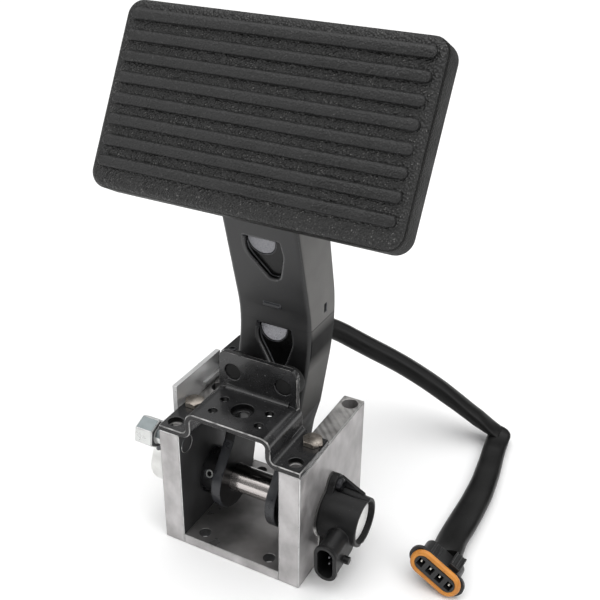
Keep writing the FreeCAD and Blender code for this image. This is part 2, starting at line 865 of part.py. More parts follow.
def sensor_housing():
    flange = ear_outline(sensor_flange_x, sensor_body_x, sensor_base_diameter / 2)
    height = sensor_end_x - sensor_body_x
    foot = vec(sensor_body_x, pivot_y, pivot_z)
    body = Part.makeCone(sensor_base_diameter / 2, sensor_end_diameter / 2, height, foot, vec(1, 0, 0))
    tube = in_socket(stadium(socket_height, socket_width, 0, socket_reach))
    inner_long = socket_height - 2 * socket_wall
    inner_short = socket_width - 2 * socket_wall
    mouth = in_socket(stadium(inner_long, inner_short, socket_reach - socket_depth, socket_reach))
    nub_low = socket_width / 2 - socket_wall / 2
    nub = Part.makeCylinder(
        nub_diameter / 2, nub_length + socket_wall / 2, vec(-nub_drop, -nub_low, nub_reach), vec(0, -1, 0)
    )
    shell = flange.fuse([body, tube, in_socket(nub)] + sensor_ribs())
    bore = rod_x(sensor_flange_x, label_x - sensor_end_wall, pivot_y, pivot_z, sensor_bore / 2)
    recess = rod_x(label_x, sensor_end_x, pivot_y, pivot_z, label_recess_diameter / 2)
    cuts = [bore, mouth, recess]
    for y, z in sensor_screw_places():
        cuts.append(rod_x(sensor_flange_x, sensor_body_x, y, z, sensor_screw_diameter / 2 + thread_gap))
        cuts.append(rod_x(sensor_body_x, sensor_end_x, y, z, sensor_screw_head / 2 + hole_gap))
    cuts += [in_socket(pin) for pin in socket_pins(thread_gap)]
    return shell.removeSplitter().cut(cuts).removeSplitter()


def socket_pins(gap):
    half = pin_size / 2 + gap
    floor = socket_reach - socket_depth
    pins = []
    for step in range(pin_count):
        middle = (step - (pin_count - 1) / 2) * pin_pitch
        low = floor - socket_wall - gap
        pins.append(block(middle - half, middle + half, -half, half, low, floor + pin_length + gap))
    return pins


def sensor_pins():
    return Part.makeCompound([in_socket(pin) for pin in socket_pins(0)])


def sensor_gasket():
    cuts = [rod_x(plate_outer_x, sensor_flange_x, pivot_y, pivot_z, sensor_bore / 2)]
    radius = sensor_screw_diameter / 2 + hole_gap
    cuts += [rod_x(plate_outer_x, sensor_flange_x, y, z, radius) for y, z in sensor_screw_places()]
    sheet_outline = ear_outline(plate_outer_x, sensor_flange_x, gasket_diameter / 2)
    return sheet_outline.cut(cuts).removeSplitter()


def sensor_screws():
    screw = pan_screw(sensor_screw_diameter, sensor_screw_head, sensor_screw_head_height, sensor_screw_length)
    places = [vec(sensor_body_x, y, z) for y, z in sensor_screw_places()]
    return Part.makeCompound([set_along(screw, place, vec(1, 0, 0)) for place in places])


def sensor_label():
    return rod_x(label_x, label_x + label_thickness, pivot_y, pivot_z, label_diameter / 2)


def sensor_rotor():
    start = plate_outer_x + rotor_gap
    rotor = rod_x(start, start + rotor_length, pivot_y, pivot_z, rotor_diameter / 2)
    end = plate_outer_x + shaft_right_reach + slip_gap
    return rotor.cut(rod_x(start, end, pivot_y, pivot_z, shaft_end_radius + slip_gap))


def switch_bracket():
    left = -plate_outer_x - strap_thickness
    top = plate_height + strap_rise
    strap = block(left, -plate_outer_x, strap_front_y, strap_rear_y, strap_low_z, top)
    arm = block(left, -plate_outer_x, strap_rear_y, shelf_rear_y, shelf_low_z, shelf_z)
    ledge = block(
        -plate_outer_x, -plate_outer_x + ledge_width, ledge_front_y, strap_rear_y, shelf_low_z, shelf_z
    )
    shelf = block(
        -plate_outer_x, -plate_outer_x + switch_width, strap_rear_y, shelf_rear_y, shelf_low_z, shelf_z
    )
    radius = strap_screw_diameter / 2 + hole_gap
    cuts = [rod_x(left, -plate_outer_x, y, z, radius) for y, z in strap_screw_places()]
    radius = switch_screw_diameter / 2 + thread_gap
    cuts += [rod_z(switch_x, y, shelf_low_z, shelf_z, radius) for y in switch_screw_ys()]
    return strap.fuse([arm, ledge, shelf]).removeSplitter().cut(cuts)


def switch_bracket_screws():
    screw = pan_screw(strap_screw_diameter, strap_screw_head, strap_screw_head_height, strap_screw_length)
    x = -plate_outer_x - strap_thickness
    return Part.makeCompound([set_along(screw, vec(x, y, z), vec(-1, 0, 0)) for y, z in strap_screw_places()])


def switch_screw_ys():
    middle = (strap_rear_y + shelf_rear_y) / 2
    return [middle + side * switch_screw_spacing / 2 for side in (-1, 1)]


def switch_body():
    top = shelf_z + switch_height
    left = -plate_outer_x
    start = strap_rear_y + switch_front_gap
    body = block(left, left + switch_width, start, shelf_rear_y, shelf_z, top)
    radius = switch_screw_diameter / 2 + thread_gap
    return body.cut([rod_z(switch_x, y, shelf_z, top, radius) for y in switch_screw_ys()])


def switch_screws():
    length = switch_height + ledge_thickness
    screw = pan_screw(switch_screw_diameter, switch_screw_head, switch_screw_head_height, length)
    top = shelf_z + switch_height
    places = [vec(switch_x, y, top) for y in switch_screw_ys()]
    return Part.makeCompound([set_along(screw, place, vec(0, 0, 1)) for place in places])


def cable_gland():
    return rod_y(switch_x, shelf_rear_y, shelf_rear_y + gland_length, gland_z, gland_diameter / 2)


def plug_frame():
    heading = math.radians(plug_heading)
    roll = math.radians(plug_roll)
    pitch = math.radians(plug_pitch)
    level = vec(math.cos(heading), math.sin(heading), 0)
    along = level * math.cos(roll) + vec(0, 0, -math.sin(roll))
    upright = level * math.sin(roll) + vec(0, 0, math.cos(roll))
    ahead = along.cross(upright)
    across = upright * math.cos(pitch) - ahead * math.sin(pitch)
    out = ahead * math.cos(pitch) + upright * math.sin(pitch)
    sections = [
        (flange_long, flange_short, seal_thickness + flange_thickness),
        (plug_long, plug_short, plug_nose + plug_body_length),
    ]
    # The plug rests on its flange or on its rear end, whichever is lower
    low_ends = [
        (long - short) / 2 * abs(along.z) + short / 2 * math.hypot(along.z, across.z) + back * out.z
        for long, short, back in sections
    ]
    placed = FreeCAD.Placement()
    placed.Rotation = FreeCAD.Rotation(along, across, out, "XYZ")
    placed.Base = vec(plug_x, plug_y, max(low_ends) + plug_lift) - out * plug_nose
    return placed


def on_plug(shape):
    shape = shape.copy()
    shape.Placement = plug_frame().multiply(shape.Placement)
    return shape


def terminal_xs():
    return [(step - (terminal_count - 1) / 2) * terminal_pitch for step in range(terminal_count)]


def connector_body():
    nose = stadium(plug_long, plug_short, -plug_body_length, plug_nose)
    flange_front = plug_nose - seal_thickness
    flange = stadium(flange_long, flange_short, flange_front - flange_thickness, flange_front)
    cuts = [
        block(
            x - cavity_width / 2, x + cavity_width / 2, -cavity_height / 2, cavity_height / 2,
            plug_nose - cavity_depth, plug_nose,
        )
        for x in terminal_xs()
    ]
    return on_plug(nose.fuse(flange).removeSplitter().cut(cuts))


def connector_seal():
    ring = stadium(seal_long, seal_short, plug_nose - seal_thickness, plug_nose)
    return on_plug(ring.cut(stadium(plug_long, plug_short, plug_nose - seal_thickness, plug_nose)))


def connector_terminals():
    floor = plug_nose - cavity_depth
    blades = [
        block(
            x - terminal_thickness / 2, x + terminal_thickness / 2, -terminal_width / 2, terminal_width / 2,
            floor, plug_nose - terminal_recess,
        )
        for x in terminal_xs()
    ]
    return on_plug(Part.makeCompound(blades))


def connector_lock():
    low = plug_short / 2
    end = plug_nose - seal_thickness - flange_thickness - lock_setback
    left = lock_offset - lock_width / 2
    return on_plug(block(left, left + lock_width, low, low + lock_height, end - lock_length, end))


def cable_points():
    gland_end = shelf_rear_y + gland_length
    plug_end = plug_frame().multVec(vec(0, 0, -plug_body_length))
    floor_z = cable_radius + cable_lift
    return [
        vec(switch_x, gland_end, gland_z),
        vec(switch_x, 70, gland_z),
        vec(-29.5, 90.5, 80.5),
        vec(-13.5, 108, 74),
        vec(9, 118, 60),
        vec(47.4, 132, 37.9),
        vec(82.1, 138, 15.9),
        vec(98.3, 139.8, floor_z),
        vec(101.3, 119, floor_z),
        vec(104.6, 95, floor_z),
        vec(106.4, 71, floor_z),
        vec(105.8, 46, floor_z),
        vec(105.2, 30, floor_z),
        plug_frame().multVec(vec(0, 0, -plug_body_length - cable_plug_run)),
        plug_end,
    ]


def cable():
    points = cable_points()
    edges = []
    last = points[0]
    for before, corner, after in zip(points, points[1:], points[2:]):
        run_in = corner - before
        run_out = after - corner
        turn = run_in.getAngle(run_out)
        reach = cable_arc_share * min(run_in.Length, run_out.Length)
        entry = corner - run_in.normalize() * reach
        leave = corner + run_out.normalize() * reach
        radius = reach / math.tan(turn / 2)
        print("cable bend", round(math.degrees(turn), 1), "deg radius", round(radius, 1))
        inward = (entry + leave) * 0.5 - corner
        middle = corner + inward.normalize() * (math.hypot(radius, reach) - radius)
        edges.append(Part.makeLine(last, entry))
        edges.append(Part.Arc(entry, middle, leave).toShape())
        last = leave
    edges.append(Part.makeLine(last, points[-1]))
    path = Part.Wire(edges)
    start = points[1] - points[0]
    ring = Part.Wire(Part.makeCircle(cable_radius, points[0], start))
    tube = path.makePipeShell([ring], True, False)
    expected = math.pi * cable_radius ** 2 * path.Length
    print("cable length", round(path.Length, 1), "volume ratio", round(tube.Volume / expected, 4))
    return tube


def export(name, shape):
    solids = shape.Solids
    body = solids[0] if len(solids) == 1 else Part.makeCompound(solids)
    print(name, len(solids), "valid" if body.isValid() else "INVALID", round(body.Volume, 1))
    body.exportStep("parts/" + name + ".step")


os.makedirs("parts", exist_ok=True)
export("left_side_plate", side_plate(-1))
export("right_side_plate", side_plate(1))
export("base_plate", base_plate())
export("base_screws", base_screws())
export("top_bracket", top_bracket())
export("bracket_bolts", bracket_bolts())
export("bracket_weld_nut", bracket_weld_nut())
export("stop_bumper_left", stop_bumper(-1))
export("stop_bumper_right", stop_bumper(1))
export("left_bush", bush(-1))
export("right_bush", bush(1))
export("pivot_shaft", pivot_shaft())
export("left_collar", collar(-1))
export("right_collar", collar(1))
export("collar_set_screws", collar_set_screws())
export("pedal_arm", pedal_arm())
export("arm_inner_plate", arm_inner_plate())
export("pad_backing_plate", pad_backing_plate())
export("pad_rubber", pad_rubber())
export("spring_cup", spring_cup())
export("return_spring", return_spring())
export("spring_arbor", spring_arbor())
export("spring_anchor_bolt", spring_anchor_bolt())
export("sensor_gasket", sensor_gasket())
export("sensor_housing", sensor_housing())
export("sensor_screws", sensor_screws())
export("sensor_label", sensor_label())
export("sensor_pins", sensor_pins())
export("sensor_rotor", sensor_rotor())
export("switch_bracket", switch_bracket())
export("switch_bracket_screws", switch_bracket_screws())
export("switch_body", switch_body())
export("switch_screws", switch_screws())
export("cable_gland", cable_gland())
export("cable", cable())
export("connector_body", connector_body())
export("connector_seal", connector_seal())
export("connector_terminals", connector_terminals())
export("connector_lock", connector_lock())
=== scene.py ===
import json
import math

import bmesh
import bpy
from mathutils import Matrix, Vector


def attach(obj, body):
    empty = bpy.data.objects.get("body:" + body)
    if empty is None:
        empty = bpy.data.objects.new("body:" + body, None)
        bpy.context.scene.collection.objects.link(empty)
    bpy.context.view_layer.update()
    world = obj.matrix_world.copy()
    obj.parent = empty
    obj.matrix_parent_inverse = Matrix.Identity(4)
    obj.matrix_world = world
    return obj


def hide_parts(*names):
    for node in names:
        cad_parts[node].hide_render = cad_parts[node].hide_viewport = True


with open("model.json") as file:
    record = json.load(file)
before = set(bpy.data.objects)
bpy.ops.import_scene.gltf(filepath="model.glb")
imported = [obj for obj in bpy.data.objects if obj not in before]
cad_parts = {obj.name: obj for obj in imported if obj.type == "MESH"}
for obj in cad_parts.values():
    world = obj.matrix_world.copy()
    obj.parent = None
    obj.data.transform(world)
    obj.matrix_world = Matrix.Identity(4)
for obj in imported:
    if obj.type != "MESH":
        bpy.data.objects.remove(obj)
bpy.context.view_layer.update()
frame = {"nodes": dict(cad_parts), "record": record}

bodyOf = {node: body for body, nodes in frame["record"]["behaviour"]["bodies"].items() for node in nodes}
mm = 0.001
print("frame loaded:", len(frame["nodes"]), "nodes")

# camera, fitted to the edges of the box, bracket and pad in the photo
shot = {
    "eye": (0.21270, -0.36518, 0.37691),
    "azimuth": 27.638,
    "elevation": 28.488,
    "roll": 0.717,
    "lens": 55.80,
    "sensor": 36.0,
    "clipStart": 0.01,
}


def placeCamera():
    turn, rise, roll = (math.radians(shot[key]) for key in ("azimuth", "elevation", "roll"))
    back = Vector((math.sin(turn) * math.cos(rise), -math.cos(turn) * math.cos(rise), math.sin(rise)))
    right = Vector((math.cos(turn), math.sin(turn), 0))
    up = back.cross(right)
    level = right * math.cos(roll) + up * math.sin(roll)
    top = up * math.cos(roll) - right * math.sin(roll)
    data = bpy.data.cameras.new("photoCamera")
    data.lens = shot["lens"]
    data.sensor_width = shot["sensor"]
    data.clip_start = shot["clipStart"]
    camera = bpy.data.objects.new("photoCamera", data)
    camera.matrix_world = Matrix.Translation(shot["eye"]) @ Matrix((level, top, back)).transposed().to_4x4()
    bpy.context.scene.collection.objects.link(camera)
    bpy.context.scene.camera = camera


placeCamera()

# soft studio light: a wide bright ceiling over a pale floor, with darker surroundings at eye level
studio = {
    "floorSize": 12.0,
    "floorColour": (0.93, 0.93, 0.93, 1),
    "floorRough": 0.9,
    "floorGloss": 0.1,
    # height in the sky, from level to overhead, and its brightness
    "sky": [(0.0, 0.16), (0.50, 0.20), (0.70, 1.10), (0.90, 2.30), (1.0, 2.30)],
    "panels": {
        # place, aimed at, size, power
        "rightPanel": ((1.05, -0.35, 0.75), (0, 0, 0.12), 0.7, 3.0),
        "leftPanel": ((-0.95, -0.85, 0.60), (0, 0, 0.10), 0.6, 3.0),
    },
}


def setStops(ramp, stops):
    elements = ramp.color_ramp.elements
    while len(elements) < len(stops):
        elements.new(0.5)
    for stop, (place, colour) in zip(elements, stops):
        stop.position = place
        stop.color = (*colour, 1)


def makeSky():
    world = bpy.data.worlds.new("paleRoom")
    bpy.context.scene.world = world
    world.use_nodes = True
    tree = world.node_tree
    coords = tree.nodes.new("ShaderNodeTexCoord")
    split = tree.nodes.new("ShaderNodeSeparateXYZ")
    ramp = tree.nodes.new("ShaderNodeValToRGB")
    brightest = max(level for height, level in studio["sky"])
    setStops(ramp, [(height, (level / brightest,) * 3) for height, level in studio["sky"]])
    tree.links.new(coords.outputs["Generated"], split.inputs["Vector"])
    tree.links.new(split.outputs["Z"], ramp.inputs["Fac"])
    tree.links.new(ramp.outputs["Color"], tree.nodes["Background"].inputs["Color"])
    tree.nodes["Background"].inputs["Strength"].default_value = brightest


def lightStudio():
    makeSky()
    for name, (place, aim, size, power) in studio["panels"].items():
        data = bpy.data.lights.new(name, "AREA")
        data.size = size
        data.energy = power
        lamp = bpy.data.objects.new(name, data)
        lamp.location = place
        lamp.rotation_euler = (Vector(aim) - Vector(place)).to_track_quat("-Z", "Y").to_euler()
        bpy.context.scene.collection.objects.link(lamp)
    half = studio["floorSize"] / 2
    mesh = bpy.data.meshes.new("floor")
    corners = [(-half, -half, 0), (half, -half, 0), (half, half, 0), (-half, half, 0)]
    mesh.from_pydata(corners, [], [(0, 1, 2, 3)])
    floor = bpy.data.objects.new("floor", mesh)
    paper = bpy.data.materials.new("paleFloor")
    paper.use_nodes = True
    shader = paper.node_tree.nodes["Principled BSDF"]
    shader.inputs["Base Color"].default_value = studio["floorColour"]
    shader.inputs["Roughness"].default_value = studio["floorRough"]
    shader.inputs["Specular IOR Level"].default_value = studio["floorGloss"]
    mesh.materials.append(paper)
    bpy.context.scene.collection.objects.link(floor)
    bpy.context.scene.view_settings.view_transform = "Standard"


lightStudio()
print("camera and light set")

# finishes on object coordinates: colour clouds, gloss that follows them and a fine grain for the bump;
# some add specks, cutter lines or a change of tone with height; several are painted shade, painted highlights
# and painted reflections
looks = {
    "milledAluminium": {
        "low": (0.345, 0.333, 0.332), "high": (0.62, 0.604, 0.604), "cloudScale": 95.0, "metal": 0.72,
        "rough": (0.34, 0.58), "grain": 700.0, "bump": 0.30, "depth": 0.00010, "stretch": (1.0, 1.0, 0.7),
    },
    # painted shade: the side plates' inner faces, the base plate's hole walls and the anchor bolt's inner end
    "paintedShadeAluminium": {
        "low": (0.046, 0.046, 0.047), "high": (0.105, 0.105, 0.107), "cloudScale": 60.0, "metal": 0.5,
        "rough": (0.30, 0.5), "grain": 900.0, "bump": 0.12, "depth": 0.00006, "stretch": (1.0, 1.0, 0.3),
    },
    # painted shade: the base plate's top, darker inside the box
    "paintedShadeFloorAluminium": {
        "low": (0.155, 0.151, 0.15), "high": (0.34, 0.332, 0.328), "cloudScale": 50.0, "metal": 0.7,
        "rough": (0.26, 0.44), "grain": 800.0, "bump": 0.12, "depth": 0.00006,
    },
    "cutterAluminium": {
        "low": (0.24, 0.233, 0.228), "high": (0.46, 0.45, 0.44), "cloudScale": 120.0, "metal": 0.7,
        "rough": (0.32, 0.5), "grain": 1000.0, "bump": 0.2, "depth": 0.00006,
        "lines": {"axis": "DIAGONAL", "scale": 130.0, "bump": 0.8, "depth": 0.00030},
    },
    # painted highlight: the lighter rounded edges of the aluminium parts, the strap and the anchor bolt's
    # head
    "paintedHighlightEdge": {
        "low": (0.50, 0.50, 0.50), "high": (0.72, 0.72, 0.71), "cloudScale": 200.0, "metal": 0.8,
        "rough": (0.26, 0.42), "grain": 900.0, "bump": 0.1, "depth": 0.00004,
    },
    # painted light: the strap's inner face, lighter than the rest of the strap
    "strapPaintedLight": {
        "low": (0.84, 0.84, 0.84), "high": (0.94, 0.94, 0.93), "cloudScale": 60.0, "metal": 0.6,
        "rough": (0.28, 0.42), "grain": 700.0, "bump": 0.08, "depth": 0.00004, "stretch": (1.0, 0.3, 1.0),
    },
    "strapAluminium": {
        "low": (0.50, 0.50, 0.50), "high": (0.68, 0.68, 0.68), "cloudScale": 60.0, "metal": 0.3,
        "rough": (0.42, 0.58), "grain": 700.0, "bump": 0.08, "depth": 0.00004, "stretch": (1.0, 0.3, 1.0),
        "specks": {"scale": 500.0, "start": 0.68, "low": (0.2, 0.2, 0.2), "high": (0.3, 0.3, 0.3)},
    },
    "glossBlackPaint": {
        "low": (0.010, 0.010, 0.0105), "high": (0.024, 0.024, 0.025), "cloudScale": 90.0,
        "rough": (0.20, 0.32), "grain": 420.0, "bump": 0.14, "depth": 0.00006, "coat": 0.35,
        "specks": {"scale": 900.0, "start": 0.70, "low": (0.06, 0.06, 0.06), "high": (0.16, 0.16, 0.16)},
    },
    # painted highlight with some wear: bright lines along the bracket's edges and bends
    "wornEdgeAndHighlight": {
        "low": (0.07, 0.07, 0.07), "high": (0.66, 0.65, 0.64), "cloudScale": 240.0, "metal": 0.6,
        "rough": (0.25, 0.45), "grain": 900.0, "bump": 0.08, "depth": 0.00003,
    },
    "sheetSection": {
        "low": (0.006, 0.006, 0.006), "high": (0.030, 0.029, 0.029), "cloudScale": 180.0, "metal": 0.3,
        "rough": (0.3, 0.5), "grain": 900.0, "bump": 0.15, "depth": 0.00005, "stretch": (1.0, 1.0, 0.4),
    },
    "satinArmPaint": {
        "low": (0.013, 0.013, 0.0135), "high": (0.021, 0.021, 0.022), "cloudScale": 60.0, "specular": 0.45,
        "rough": (0.30, 0.42), "grain": 600.0, "bump": 0.08, "depth": 0.00005,
        # heights paint shade, darker towards the bottom; at 128 mm a thin seam line, with a painted
        # reflection's edge across it, darker below and lighter above
        "heights": [(0.080, 0.25), (0.112, 0.45), (0.124, 0.62), (0.1275, 0.70), (0.1280, 0.40),
                    (0.1285, 0.80), (0.150, 0.95), (0.220, 1.05)],
        "specks": {"scale": 700.0, "start": 0.72, "low": (0.03, 0.03, 0.03), "high": (0.06, 0.06, 0.06)},
    },
    # painted reflection: the arm's right flange, far lighter than the web; heights paint a dark band at 112
    # to 121 mm and the seam line at 128 mm
    "flangePaintedReflection": {
        "low": (0.115, 0.113, 0.110), "high": (0.162, 0.159, 0.154), "cloudScale": 50.0, "specular": 0.06,
        "rough": (0.36, 0.48), "grain": 600.0, "bump": 0.08, "depth": 0.00005,
        "heights": [(0.070, 0.40), (0.104, 0.85), (0.112, 0.0), (0.121, 0.0), (0.1275, 0.75), (0.1280, 0.20),
                    (0.1286, 1.0), (0.220, 1.0)],
    },
    # painted shade: the levers' sides, the walls of the bracket's holes and the bottoms of drive sockets
    "paintedShadeBlack": {
        "low": (0.0015, 0.0015, 0.0017), "high": (0.004, 0.004, 0.0043), "cloudScale": 120.0,
        "specular": 0.22, "rough": (0.28, 0.40), "grain": 700.0, "bump": 0.1, "depth": 0.00004,
    },
    # painted highlight: the levers' rims and the rounded edges of the arm and the collars
    "paintedHighlightBlack": {
        "low": (0.016, 0.017, 0.020), "high": (0.035, 0.037, 0.042), "cloudScale": 150.0,
        "rough": (0.24, 0.36), "grain": 700.0, "bump": 0.08, "depth": 0.00003,
    },
    # painted shade: the floors of the arm's scoops
    "scoopPaintedShade": {
        "low": (0.002, 0.002, 0.002), "high": (0.006, 0.006, 0.006), "cloudScale": 150.0, "specular": 0.25,
        "rough": (0.18, 0.30), "grain": 700.0, "bump": 0.06, "depth": 0.00003,
    },
    # painted highlight: the scoops' rounded lips
    "scoopLipHighlight": {
        "low": (0.020, 0.020, 0.021), "high": (0.045, 0.045, 0.046), "cloudScale": 120.0, "specular": 0.6,
        "rough": (0.22, 0.34), "grain": 700.0, "bump": 0.06, "depth": 0.00003,
    },
    "fleckedGreyPlate": {
        "low": (0.38, 0.38, 0.405), "high": (0.60, 0.60, 0.64), "cloudScale": 1500.0, "metal": 0.1,
        "rough": (0.45, 0.65), "grain": 1800.0, "bump": 0.2, "depth": 0.00005,
        # heights paint shade: the plate darker from 135 mm up, at about half tone above 160 mm
        "heights": [(0.080, 1.0), (0.135, 1.0), (0.160, 0.52), (0.220, 0.52)],
        "specks": {"scale": 1300.0, "start": 0.62, "low": (0.13, 0.13, 0.15), "high": (0.20, 0.20, 0.22)},
    },
    "groundShaft": {
        "low": (0.54, 0.50, 0.485), "high": (0.70, 0.66, 0.64), "cloudScale": 60.0, "metal": 0.9,
        "rough": (0.16, 0.22), "grain": 300.0, "bump": 0.02, "depth": 0.00001, "stretch": (0.04, 1.0, 1.0),
        # heights paint a reflection: a thin dark line at 30.4 mm along the shaft and a dark top from 37.6 mm
        # up
        "heights": [(0.023, 0.95), (0.0300, 1.0), (0.0304, 0.45), (0.0308, 1.0), (0.0376, 1.0),
                    (0.0380, 0.30), (0.0383, 0.08), (0.040, 0.03)],
    },
    "turnedSteel": {
        "low": (0.004, 0.004, 0.0045), "high": (0.012, 0.012, 0.013), "cloudScale": 90.0, "specular": 0.4,
        "rough": (0.24, 0.38), "grain": 900.0, "bump": 0.08, "depth": 0.00003,
        "lines": {"axis": "X", "scale": 500.0, "bump": 0.1, "depth": 0.00003},
    },
    "brightZinc": {
        "low": (0.60, 0.61, 0.60), "high": (0.80, 0.81, 0.79), "cloudScale": 110.0, "metal": 0.6,
        "rough": (0.26, 0.42), "grain": 800.0, "bump": 0.1, "depth": 0.00004,
    },
    # painted reflection: the anchor bolt's upward faces, darker blue-grey
    "paintedReflectionZinc": {
        "low": (0.15, 0.17, 0.175), "high": (0.26, 0.29, 0.295), "cloudScale": 110.0, "metal": 0.7,
        "rough": (0.26, 0.42), "grain": 800.0, "bump": 0.1, "depth": 0.00004,
    },
    "paleZinc": {
        "low": (0.72, 0.72, 0.70), "high": (0.88, 0.88, 0.86), "cloudScale": 110.0, "metal": 0.4,
        "rough": (0.34, 0.5), "grain": 800.0, "bump": 0.1, "depth": 0.00004,
    },
    "warmNickel": {
        "low": (0.27, 0.24, 0.21), "high": (0.47, 0.43, 0.38), "cloudScale": 300.0, "metal": 0.9,
        "rough": (0.26, 0.42), "grain": 1100.0, "bump": 0.3, "depth": 0.00008,
        "specks": {"scale": 900.0, "start": 0.60, "low": (0.13, 0.115, 0.10), "high": (0.22, 0.19, 0.165)},
    },
    "darkSteel": {
        "low": (0.012, 0.012, 0.013), "high": (0.035, 0.035, 0.04), "cloudScale": 200.0, "metal": 0.6,
        "rough": (0.30, 0.45), "grain": 900.0, "bump": 0.08, "depth": 0.00003,
    },
    "springWire": {
        "low": (0.18, 0.18, 0.19), "high": (0.34, 0.34, 0.36), "cloudScale": 150.0, "metal": 0.9,
        "rough": (0.28, 0.40), "grain": 900.0, "bump": 0.05, "depth": 0.00002,
    },
    "sinterBronze": {
        "low": (0.36, 0.25, 0.12), "high": (0.55, 0.40, 0.20), "cloudScale": 300.0, "metal": 0.9,
        "rough": (0.35, 0.5), "grain": 1600.0, "bump": 0.1, "depth": 0.00003,
    },
    "tinnedContact": {
        "low": (0.66, 0.62, 0.54), "high": (0.90, 0.87, 0.80), "cloudScale": 300.0, "metal": 0.8,
        "rough": (0.18, 0.3), "grain": 900.0, "bump": 0.05, "depth": 0.00002,
    },
    "bumperRubber": {
        "low": (0.006, 0.006, 0.006), "high": (0.014, 0.014, 0.014), "cloudScale": 200.0, "specular": 0.3,
        "rough": (0.55, 0.75), "grain": 900.0, "bump": 0.2, "depth": 0.00006,
    },
    "gasketSheet": {
        "low": (0.80, 0.79, 0.77), "high": (0.93, 0.92, 0.90), "cloudScale": 400.0,
        "rough": (0.6, 0.8), "grain": 1500.0, "bump": 0.2, "depth": 0.00005,
        # heights paint shade: the gasket near black above 31 mm
        "heights": [(0.0, 1.0), (0.028, 1.0), (0.031, 0.05), (0.060, 0.05)],
    },
    "mouldedPlastic": {
        "low": (0.005, 0.005, 0.0052), "high": (0.011, 0.011, 0.0115), "cloudScale": 80.0, "specular": 0.27,
        "rough": (0.34, 0.52), "grain": 1300.0, "bump": 0.25, "depth": 0.00006,
        "specks": {"scale": 1000.0, "start": 0.69, "low": (0.03, 0.03, 0.03), "high": (0.09, 0.09, 0.09)},
    },
    "plugPlastic": {
        "low": (0.010, 0.010, 0.0102), "high": (0.020, 0.020, 0.0205), "cloudScale": 80.0, "specular": 0.45,
        "rough": (0.30, 0.46), "grain": 1300.0, "bump": 0.2, "depth": 0.00006,
    },
    "blankLabel": {
        "low": (0.90, 0.90, 0.89), "high": (0.97, 0.97, 0.96), "cloudScale": 300.0,
        "rough": (0.5, 0.65), "grain": 2200.0, "bump": 0.05, "depth": 0.00002,
    },
    "sealRubber": {
        "low": (0.46, 0.16, 0.018), "high": (0.68, 0.28, 0.042), "cloudScale": 160.0,
        "rough": (0.34, 0.5), "grain": 900.0, "bump": 0.12, "depth": 0.00005,
        "specks": {"scale": 420.0, "start": 0.66, "low": (0.32, 0.10, 0.014), "high": (0.42, 0.15, 0.024)},
    },
    "cableSleeve": {
        "low": (0.003, 0.003, 0.003), "high": (0.007, 0.007, 0.0068), "cloudScale": 70.0, "specular": 0.22,
        "rough": (0.30, 0.44), "grain": 260.0, "bump": 0.2, "depth": 0.00015,
        "specks": {"scale": 900.0, "start": 0.72, "low": (0.02, 0.02, 0.02), "high": (0.05, 0.05, 0.05)},
    },
}


def addNode(tree, kind, values=None):
    node = tree.nodes.new(kind)
    for socket, value in (values or {}).items():
        node.inputs[socket].default_value = value
    return node


def spreadColours(tree, source, low, high, start=0.30, end=0.72):
    ramp = addNode(tree, "ShaderNodeValToRGB")
    setStops(ramp, [(start, low), (end, high)])
    tree.links.new(source, ramp.inputs["Fac"])
    return ramp.outputs["Color"]


def spreadValue(tree, source, low, high, start=0.3, end=0.7):
    values = {"From Min": start, "From Max": end, "To Min": low, "To Max": high}
    span = addNode(tree, "ShaderNodeMapRange", values)
    tree.links.new(source, span.inputs["Value"])
    return span.outputs["Result"]


def blend(tree, share, under, over, mode="MIX"):
    # a Mix node's colour sockets are inputs 6 and 7 and output 2
    mix = addNode(tree, "ShaderNodeMix")
    mix.data_type = "RGBA"
    mix.blend_type = mode
    if share:
        tree.links.new(share, mix.inputs[0])
    else:
        mix.inputs[0].default_value = 1.0
    tree.links.new(under, mix.inputs[6])
    tree.links.new(over, mix.inputs[7])
    return mix.outputs[2]


def objectNoise(tree, scale, detail=4.0, stretch=(1, 1, 1)):
    coords = addNode(tree, "ShaderNodeTexCoord")
    mapping = addNode(tree, "ShaderNodeMapping", {"Scale": stretch})
    noise = addNode(tree, "ShaderNodeTexNoise", {"Scale": scale, "Detail": detail})
    tree.links.new(coords.outputs["Object"], mapping.inputs["Vector"])
    tree.links.new(mapping.outputs["Vector"], noise.inputs["Vector"])
    return noise.outputs["Fac"]


# tone that changes with height: painted shade and painted reflections, and thin seam lines
def toneByHeight(tree, heights):
    low, high = heights[0][0], heights[-1][0]
    coords = addNode(tree, "ShaderNodeTexCoord")
    split = addNode(tree, "ShaderNodeSeparateXYZ")
    tree.links.new(coords.outputs["Object"], split.inputs["Vector"])
    ramp = addNode(tree, "ShaderNodeValToRGB")
    setStops(ramp, [((height - low) / (high - low), (tone,) * 3) for height, tone in heights])
    tree.links.new(spreadValue(tree, split.outputs["Z"], 0.0, 1.0, low, high), ramp.inputs["Fac"])
    return ramp.outputs["Color"]


def cutterLines(tree, look, under):
    coords = addNode(tree, "ShaderNodeTexCoord")
    wave = addNode(tree, "ShaderNodeTexWave", {"Scale": look["scale"], "Distortion": 1.2, "Detail": 2.0})
    wave.bands_direction = look["axis"]
    tree.links.new(coords.outputs["Object"], wave.inputs["Vector"])
    bump = addNode(tree, "ShaderNodeBump", {"Strength": look["bump"], "Distance": look["depth"]})
    tree.links.new(wave.outputs["Fac"], bump.inputs["Height"])
    tree.links.new(under, bump.inputs["Normal"])
    return bump.outputs["Normal"]


# what the finishes share: detail of their noises, a speck's soft rim and the gloss of a clear coat
finishing = {
    "cloudDetail": 6.0,
    "grainDetail": 3.0,
    "speckDetail": 2.0,
    "speckRim": 0.05,
    "coatRough": 0.12,
}


